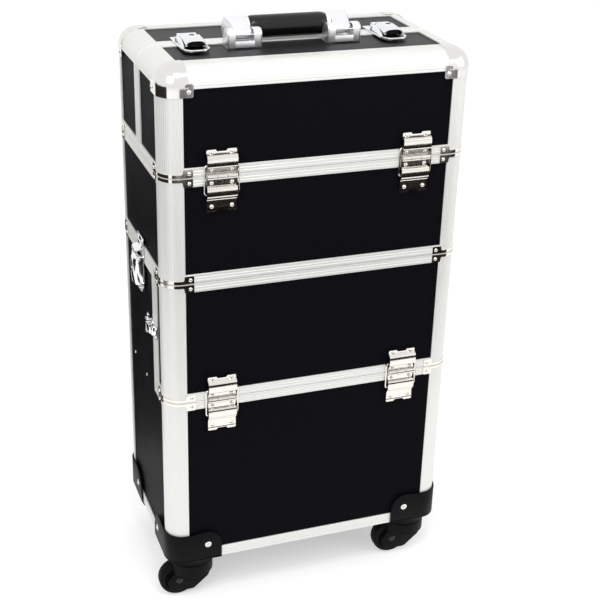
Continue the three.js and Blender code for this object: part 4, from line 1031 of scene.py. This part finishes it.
def handle_bracket(bm, place):
    softened(bm, 0.5, pressed_ears, place)
    softened(bm, 0.35, bracket_front, place)
    pin(bm, place, PIVOT, 2.0, 1 - BRACKET_HALF, BRACKET_HALF - 1, 18)


def arc(centre, radius, first, last, step):
    """Points on a circle between two angles in degrees."""
    turns = [math.radians(angle) for angle in range(first, last + 1, step)]
    return [Vector((centre[0] + radius * math.cos(t), centre[1] + radius * math.sin(t))) for t in turns]


def curve(start, control, end, steps=10):
    start, control, end = Vector(start), Vector(control), Vector(end)
    ts = [(k + 1) / steps for k in range(steps)]
    return [start * (1 - t) ** 2 + control * 2 * t * (1 - t) + end * t * t for t in ts]


def arm_profile():
    """From the side: the curl round the pin, the sweep to the grip and the round end beside it."""
    (py, pz), (gy, gz) = PIVOT, GRIP_AXIS
    under = curve((py, pz - PIVOT_BOSS), (gy - 12, gz - GRIP_R + 2), (gy, gz - GRIP_R))
    over = curve((gy, gz + GRIP_R), (gy - 10, gz + GRIP_R - 2), (py, pz + PIVOT_BOSS))[:-1]
    return arc(PIVOT, PIVOT_BOSS, 90, 270, 15) + under + arc(GRIP_AXIS, GRIP_R, -80, 80, 10) + over


def handle_arm(bm, place, side):
    """One arm; its outer side widens from the bracket to the grip."""
    part = bmesh.new()
    prism(part, arm_profile(), -ARM_HALF, ARM_HALF, axes((0, 0, 0), Y, Z, X))
    start, end = BRACKET_BACK + 1, GRIP_AXIS[0]
    for vertex in part.verts:
        if vertex.co.x * side > 0:
            grow = min(1.0, max(0.0, (vertex.co.y - start) / (end - start)))
            vertex.co.x += side * ARM_FLARE * grow * (2 - grow)
    merge(bm, part, place)


def end_ring(bm, place, side):
    """The polished ring between the grip and an arm."""
    start, end = GRIP_HALF + 0.4, GRIP_HALF + 3.4
    r = GRIP_R
    profile = [(0, start), (r - 0.9, start), (r - 0.2, start + 0.5), (r - 0.2, end), (0, end)]
    origin, v, w, u = across(moved(place, 0, *GRIP_AXIS))
    lathe(bm, profile, (origin, v, w, u * side), 48)


def carry_bail(bm, place, brackets):
    for name, side in SIDES.items():
        softened(bm, 1.1, handle_arm, moved(place, brackets[name], 0, 0), side)
        softened(bm, 0.2, end_ring, place, side)
    reach = max(brackets.values())
    pin(bm, place, GRIP_AXIS, 5.0, -reach, reach, 24)


def carry_grip(bm, place):
    """A thick black grip, drawn in a little at its ends."""
    half, r = GRIP_HALF, GRIP_R
    quarter = [(0, 0), (r - 2.6, 0), (r - 1.2, 0.5), (r - 0.5, 1.8), (r - 0.1, 4.5), (r, 9.0)]
    profile = [(radius, height - half) for radius, height in quarter]
    profile += [(radius, half - height) for radius, height in quarter[::-1]]
    lathe(bm, profile, across(moved(place, 0, *GRIP_AXIS)), 64)


def make_handle():
    place, brackets = handle_places()
    for name, along in brackets.items():
        node = f"handle_bracket_{name}"
        bracket_place = moved(place, along, 0, 0)
        build(f"carry_bracket_{name}", NICKEL, "front_lid", [node], handle_bracket, bracket_place)
    build("carry_bail", NICKEL, "carry_handle", ["handle_bail"], carry_bail, place, brackets)
    build("carry_grip", GRIP, "carry_handle", ["handle_grip"], carry_grip, place)


# ---- corner protectors
GUARD_HEIGHT = 41.0
GUARD_DIP = 2.5
# (length from the corner, rounding of the end) of the two legs
GUARD_FRONT = (65.5, 20.5)
GUARD_SIDE = (70.0, 28.0)
GUARD_OUT = GAP + 2.0
GUARD_PLATE = 3.0
GUARD_PLATE_DEPTH = 62.0
COLLAR = 28.0
COLLAR_DROP = 11.0
COLLAR_BORE = 5.6
CASTER_IN = (34.0, 30.0)


def leg_height(distance, leg):
    """How high a leg stands at a distance from the corner: level, dipping a little, round at its end."""
    length, rounding = leg
    middle = length - rounding
    if distance > middle:
        reach = min(distance - middle, rounding * 0.995)
        return GUARD_HEIGHT - rounding + math.sqrt(rounding ** 2 - reach ** 2)
    turn = distance / middle
    return GUARD_HEIGHT - 4 * GUARD_DIP * turn * (1 - turn)


def guard_columns():
    """(s along the corner, low, high) right round a guard, from the front leg's end to the side leg's."""
    eases = [math.sin(math.pi / 2 * k / 24) for k in range(25)]
    columns = []
    for ease in eases:
        past = (GUARD_FRONT[0] - EDGE) * (1 - ease)
        columns.append((POST_FLAT - past, 0.0, leg_height(EDGE + past, GUARD_FRONT)))
    columns += [(POST_FLAT + ARC * k / 12, 0.0, GUARD_HEIGHT - GUARD_DIP) for k in range(1, 12)]
    for ease in eases:
        past = (GUARD_SIDE[0] - EDGE) * ease
        columns.append((POST_FLAT + ARC + past, 0.0, leg_height(EDGE + past, GUARD_SIDE)))
    return columns


def guard_shell(bm, corner):
    wrap(bm, guard_columns(), corner, BASE, GAP, GUARD_OUT)


def guard_plate(bm, corner):
    """The flat plate under the case's corner."""
    out, width, depth = GUARD_OUT, GUARD_FRONT[0], GUARD_PLATE_DEPTH
    outline = fillet([(-out, -out, EDGE + out), (width, -out, 0), (width, depth, 6), (-out, depth, 0)], 12)
    prism(bm, outline, 0, GUARD_PLATE, corner_place(*corner, BASE))


def guard_collar(bm, corner):
    """The round collar, which the moulding's foot narrows into."""
    r, h, bore = COLLAR, COLLAR_DROP, COLLAR_BORE
    profile = [(bore, -h), (r - 1, -h), (r, 1 - h), (r, -h * 0.55), (r + 0.5, -h * 0.35)]
    profile += [(r + 1.4, -h * 0.18), (r + 3.2, -0.3), (r + 3.4, 1.0), (bore, 1.0), (bore, -h)]
    lathe(bm, profile, moved(corner_place(*corner, BASE), *CASTER_IN, 0), 48)


def corner_guard(bm, corner):
    softened(bm, 0.7, guard_shell, corner)
    softened(bm, 0.6, guard_plate, corner)
    softened(bm, 0.3, guard_collar, corner)
    bmesh.ops.remove_doubles(bm, verts=bm.verts, dist=0.0005)


def guard_rivets(bm, corner):
    """A washer and a dome rivet on each leg of a guard."""
    place = corner_place(*corner, BASE)
    _, u, v, _ = place
    washer = [(0, -0.3), (4.1, -0.3), (4.1, 0.3), (3.7, 0.5), (0, 0.5)]
    for spot, out in ((at(place, 48.0, -GUARD_OUT, 22.4), -v), (at(place, -GUARD_OUT, 53.5, 20.4), -u)):
        lathe(bm, washer, (spot, Z.cross(out), Z, out), 24)
        dome(bm, spot + out * 0.5, out, 2.4, 1.3)


def make_protectors():
    for name, corner in CORNERS.items():
        node = f"corner_protector_{name}"
        build(f"corner_guard_{name}", BLACK, "lower_case", [node], corner_guard, corner)
        build(f"guard_rivets_{name}", CHROME, "lower_case", [], guard_rivets, corner)


# ---- casters
WHEEL = 24.0
TYRE = 16.0
TRAIL = 18.0
HOOD = 27.5
HOOD_SHEET = 2.6
HOOD_DROP = 29.0
HOOD_ROOF = 4.0
FORK_TOP = -COLLAR_DROP - GAP
AXLE_Z = WHEEL - BASE
CHEEK_IN = TYRE / 2 + 1.0
CHEEK_OUT = TYRE / 2 + 4.0
FOOT = 16.8


def wheel(bm, place):
    """The hub, the sunk web and the rounded tread."""
    half = TYRE / 2
    side = [(3.3, 0), (7.4, 0), (8.4, 0.8), (8.4, 2.4), (15.6, 2.4), (16.6, 0.8)]
    side += [(17.8, 0), (20.6, 0), (22.4, 0.6), (23.5, 2.0), (WHEEL, 4.2)]
    profile = [(r, w - half) for r, w in side] + [(r, half - w) for r, w in side[::-1]]
    profile.append(profile[0])
    lathe(bm, profile, moved(place, -TRAIL, AXLE_Z, 0), 64)
    bmesh.ops.remove_doubles(bm, verts=bm.verts, dist=0.0005)


def hood_shell(bm, place):
    """The hood's wall, open below and behind, where the wheel comes out."""
    r, inside, roof, foot = HOOD, HOOD - HOOD_SHEET, FORK_TOP - HOOD_ROOF, -HOOD_DROP
    wall = [(inside, roof), (inside, foot + 0.4), (inside + 0.4, foot)]
    wall += [(r - 0.4, foot), (r, foot + 0.4), (r, roof)]
    opening = math.asin(CHEEK_IN / inside)
    sections = []
    for k in range(49):
        turn = opening + 2 * (math.pi - opening) * k / 48
        c, s = math.cos(turn), math.sin(turn)
        sections.append([(-radius * c, height, radius * s) for radius, height in wall])
    skin(bm, place, sections)


def hood_lid(bm, place):
    r, top = HOOD, FORK_TOP
    roof = top - HOOD_ROOF
    profile = [(0, roof), (r, roof), (r, top - 2.6), (r - 0.7, top - 0.8), (r - 2.2, top), (0, top)]
    swivel, along, up, sideways = place
    lathe(bm, profile, (swivel, along, sideways, up), 56)


def fork_cheeks(bm, place):
    """The two side plates that carry the axle."""
    edge = HOOD * 0.88
    high = FORK_TOP - HOOD_ROOF
    outline = fillet([
        (-edge, high, 0), (-edge, -HOOD_DROP, 4), (-TRAIL - FOOT, AXLE_Z, FOOT * 0.6),
        (-TRAIL - FOOT * 0.6, AXLE_Z - FOOT, 9), (-TRAIL + FOOT * 1.1, AXLE_Z - FOOT * 0.97, 6),
        (edge * 0.8, AXLE_Z, 6), (edge, -HOOD_DROP, 3), (edge, high, 0),
    ], 6)
    for side in (-1, 1):
        prism(bm, outline, *span(side, CHEEK_IN, CHEEK_OUT), place)


def caster_housing(bm, place):
    softened(bm, 0.8, fork_cheeks, place)
    hood_lid(bm, place)
    hood_shell(bm, place)
    rod(bm, 3.0, at(place, -TRAIL, AXLE_Z, -CHEEK_OUT), at(place, -TRAIL, AXLE_Z, CHEEK_OUT), 20, 0.4)
    rod(bm, 5.0, at(place, 0, FORK_TOP - 1, 0), at(place, 0, -3, 0), 20, 0.4)


def axle_caps(bm, place):
    for side in (-1, 1):
        dome(bm, at(place, -TRAIL, AXLE_Z, side * CHEEK_OUT), side * place[3], 4.6, 1.2)


def make_casters():
    """Axes at each swivel: u away from the trailing wheel, v up, w across; one caster is turned round."""
    for name, corner in CORNERS.items():
        swivel = at(corner_place(*corner, BASE), *CASTER_IN, 0)
        way = -1 if name == "rear_left" else 1
        place = axes(swivel, way * X, Z, way * Y)
        body = f"caster_{name}"
        build(f"caster_housing_{name}", BLACK, body, [f"caster_fork_{name}"], caster_housing, place)
        build(f"caster_axle_caps_{name}", GRIP, body, [], axle_caps, place)
        build(f"caster_tyre_{name}", RUBBER, f"wheel_{name}", [f"caster_wheel_{name}"], wheel, place)


# ---- boards
BOARDS = {
    "lower_panels": "lower_case", "door_panels": "door", "upper_panels": "upper_case",
    "front_lid_panels": "front_lid", "rear_lid_panels": "rear_lid",
}


def bare_board(node):
    """A CAD board without the hardware that is fused with it, its holes closed."""
    bm = bmesh.new()
    bm.from_mesh(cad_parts[node].data)
    bmesh.ops.scale(bm, vec=(1 / MM,) * 3, verts=bm.verts)
    bmesh.ops.remove_doubles(bm, verts=bm.verts, dist=0.001)
    inset = BOARD_INSET - 0.05
    limit = Vector((SIDE - inset, BACK - inset, TOP - inset))
    out = [v for v in bm.verts if abs(v.co.x) > limit.x or abs(v.co.y) > limit.y or v.co.z > limit.z]
    bmesh.ops.delete(bm, geom=out, context="VERTS")
    open_edges = [e for e in bm.edges if len(e.link_faces) == 1]
    bmesh.ops.holes_fill(bm, edges=open_edges, sides=0)
    return bm


def make_boards():
    """The boards are shaded flat; their faces on top of the lids get a copy of the same laminate with a
    higher specular level, a painted sheen that makes the tops read lighter than the sides.
    """
    for node, body in BOARDS.items():
        boards = piece(f"{body}_boards", bare_board(node), PANEL, body, [node], angle=1)
        boards.data.materials.append(LID_TOP_SHEEN_PANEL)
        # Faces that look up on the lids take the shinier copy: a painted sheen on the tops.
        for face in boards.data.polygons:
            if face.normal.z > 0.7 and face.center.z > (TOP - 10) * MM:
                face.material_index = 1


# How far back each rivet is, and how high
RUNNER_RIVETS = (0.0, 62.0)
RUNNER_RIVET_LEVEL = BASE + 212


def runner_rivets(bm):
    """Small dome rivets through the side boards, which hold the runners inside."""
    for sx in SIDES.values():
        for y in RUNNER_RIVETS:
            dome(bm, Vector((sx * (SIDE - BOARD_INSET), y, RUNNER_RIVET_LEVEL)), sx * X, 1.9, 1.0)


# The CAD pieces that keep their shape, by how their names start
KEPT = {
    ALUMINIUM: ("front_tray_arm", "rear_tray_arm"),
    TRAY: ("divider_tray", "front_tray_lower", "front_tray_upper", "rear_tray_lower", "rear_tray_upper"),
}


def dress_kept_nodes():
    for finish, starts in KEPT.items():
        for name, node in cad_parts.items():
            if name.startswith(starts):
                node.data.materials.clear()
                node.data.materials.append(finish)


# ---- stage, light and camera
CAMERA_LENS = 74.4
CAMERA_AT = (-0.4715, -1.3184, 1.0217)
CAMERA_RIGHT = (0.94094, -0.33755, 0.02618)
CAMERA_UP = (0.12308, 0.41304, 0.90235)
WHITE = (1, 1, 1, 1)
FLOOR_SIZE = (24, 24)
FLOOR_GLOW = 0.42
WORLD_LIGHT = 0.62
# For each card: (its size, its place), in metres
DARK_CARDS = {
    "front_card": ((1.6, 0.34), axes((0.25, -0.62, 0.22), X, Z, -Y)),
    "left_card": ((1.4, 0.5), axes((-0.9, 0.1, 0.35), Y, Z, X)),
    "behind_card": ((0.6, 1.5), axes((-0.52, 1.0, 0.02), X, Y, Z)),
    "left_cap_card": ((0.07, 0.10), axes((-0.03, -0.62, 0.50), X, Z, -Y)),
    "right_cap_card": ((0.08, 0.10), axes((0.44, -0.62, 0.50), X, Z, -Y)),
}
# For each area light: (watts, size, where it hangs, what it aims at), in metres
LIGHTS = {
    "key": (22, 1.6, (-1.6, -1.8, 2.2), (0, 0, 0.35)),
    "fill": (12, 1.8, (2.0, -1.6, 1.4), (0, 0, 0.35)),
    "top": (6, 0.45, (-0.1, -0.85, 1.9), (0, 0, 0.6)),
}


def make_camera():
    """The view that a fit to the case's corners and seams in the photograph gave."""
    data = bpy.data.cameras.new("camera")
    data.lens = CAMERA_LENS
    data.sensor_width = 36
    data.clip_start = 0.05
    data.clip_end = 50
    camera = linked("camera", data)
    right, up = Vector(CAMERA_RIGHT), Vector(CAMERA_UP)
    turned = Matrix((right, up, right.cross(up))).transposed().to_4x4()
    camera.matrix_world = Matrix.Translation(CAMERA_AT) @ turned
    bpy.context.scene.camera = camera


def card(name, finish, size, place):
    """A flat card: size along the place's u and v, in metres."""
    bm = bmesh.new()
    half_u, half_v = size[0] / 2, size[1] / 2
    corners = [(-half_u, -half_v), (half_u, -half_v), (half_u, half_v), (-half_u, half_v)]
    bm.faces.new([bm.verts.new(at(place, u, v, 0)) for u, v in corners])
    made = solid(name, bm, finish)
    return made


def background_rays(n):
    """1 where the camera, a reflection or a transmission looks, 0 for light that falls on things."""
    rays = n.add("LightPath").outputs
    seen = n.math("MAXIMUM", rays["Is Camera Ray"], rays["Is Glossy Ray"])
    return n.math("MAXIMUM", seen, rays["Is Transmission Ray"])


def make_floor():
    """A pale floor that keeps the case's shadow; what it glows with is seen but lights nothing."""
    made, n = material("pale_floor", (0.9, 0.9, 0.9), 0.9, specular=0.0)
    glow = n.math("MULTIPLY", background_rays(n), FLOOR_GLOW)
    n.feed(n.shader, {"Emission Color": WHITE, "Emission Strength": glow})
    card("floor", made, FLOOR_SIZE, axes((0, 0, 0), X, Y, Z))


def make_dark_cards():
    """Dark warm cards that only polished metal shows, as the dim half of a room would be."""
    made, _ = material("dark_card", (0.03, 0.024, 0.02), 0.9, specular=0.0)
    for name, (size, place) in DARK_CARDS.items():
        dark = card(name, made, size, place)
        for kind in ("camera", "diffuse", "transmission", "shadow", "volume_scatter"):
            setattr(dark, "visible_" + kind, False)


def make_world():
    """White where it is looked at, dimmer as a light."""
    world = bpy.data.worlds.new("studio")
    bpy.context.scene.world = world
    world.use_nodes = True
    n = Nodes(world.node_tree)
    lighting = n.tree.nodes["Background"]
    n.feed(lighting, {"Color": WHITE, "Strength": WORLD_LIGHT})
    seen = n.add("Background", {"Color": WHITE, "Strength": 1.0})
    mix = n.add("MixShader", {0: background_rays(n), 1: lighting.outputs[0], 2: seen.outputs[0]})
    n.feed(n.tree.nodes["World Output"], {"Surface": mix.outputs[0]})


def make_lights():
    for name, (watts, size, spot, aim) in LIGHTS.items():
        data = bpy.data.lights.new(name, "AREA")
        data.energy = watts
        data.size = size
        light = linked(name, data)
        light.location = spot
        light.rotation_euler = (Vector(aim) - Vector(spot)).to_track_quat("-Z", "Y").to_euler()
    bpy.context.scene.view_settings.view_transform = "Standard"


make_camera()
make_floor()
make_dark_cards()
make_world()
make_lights()
make_boards()
build("board_rivets", CHROME, "lower_case", [], runner_rivets)
make_frames()
make_straps()
make_ball_corners()
make_hinges()
make_key_latches()
make_door_latches()
make_handle()
make_protectors()
make_casters()
dress_kept_nodes()
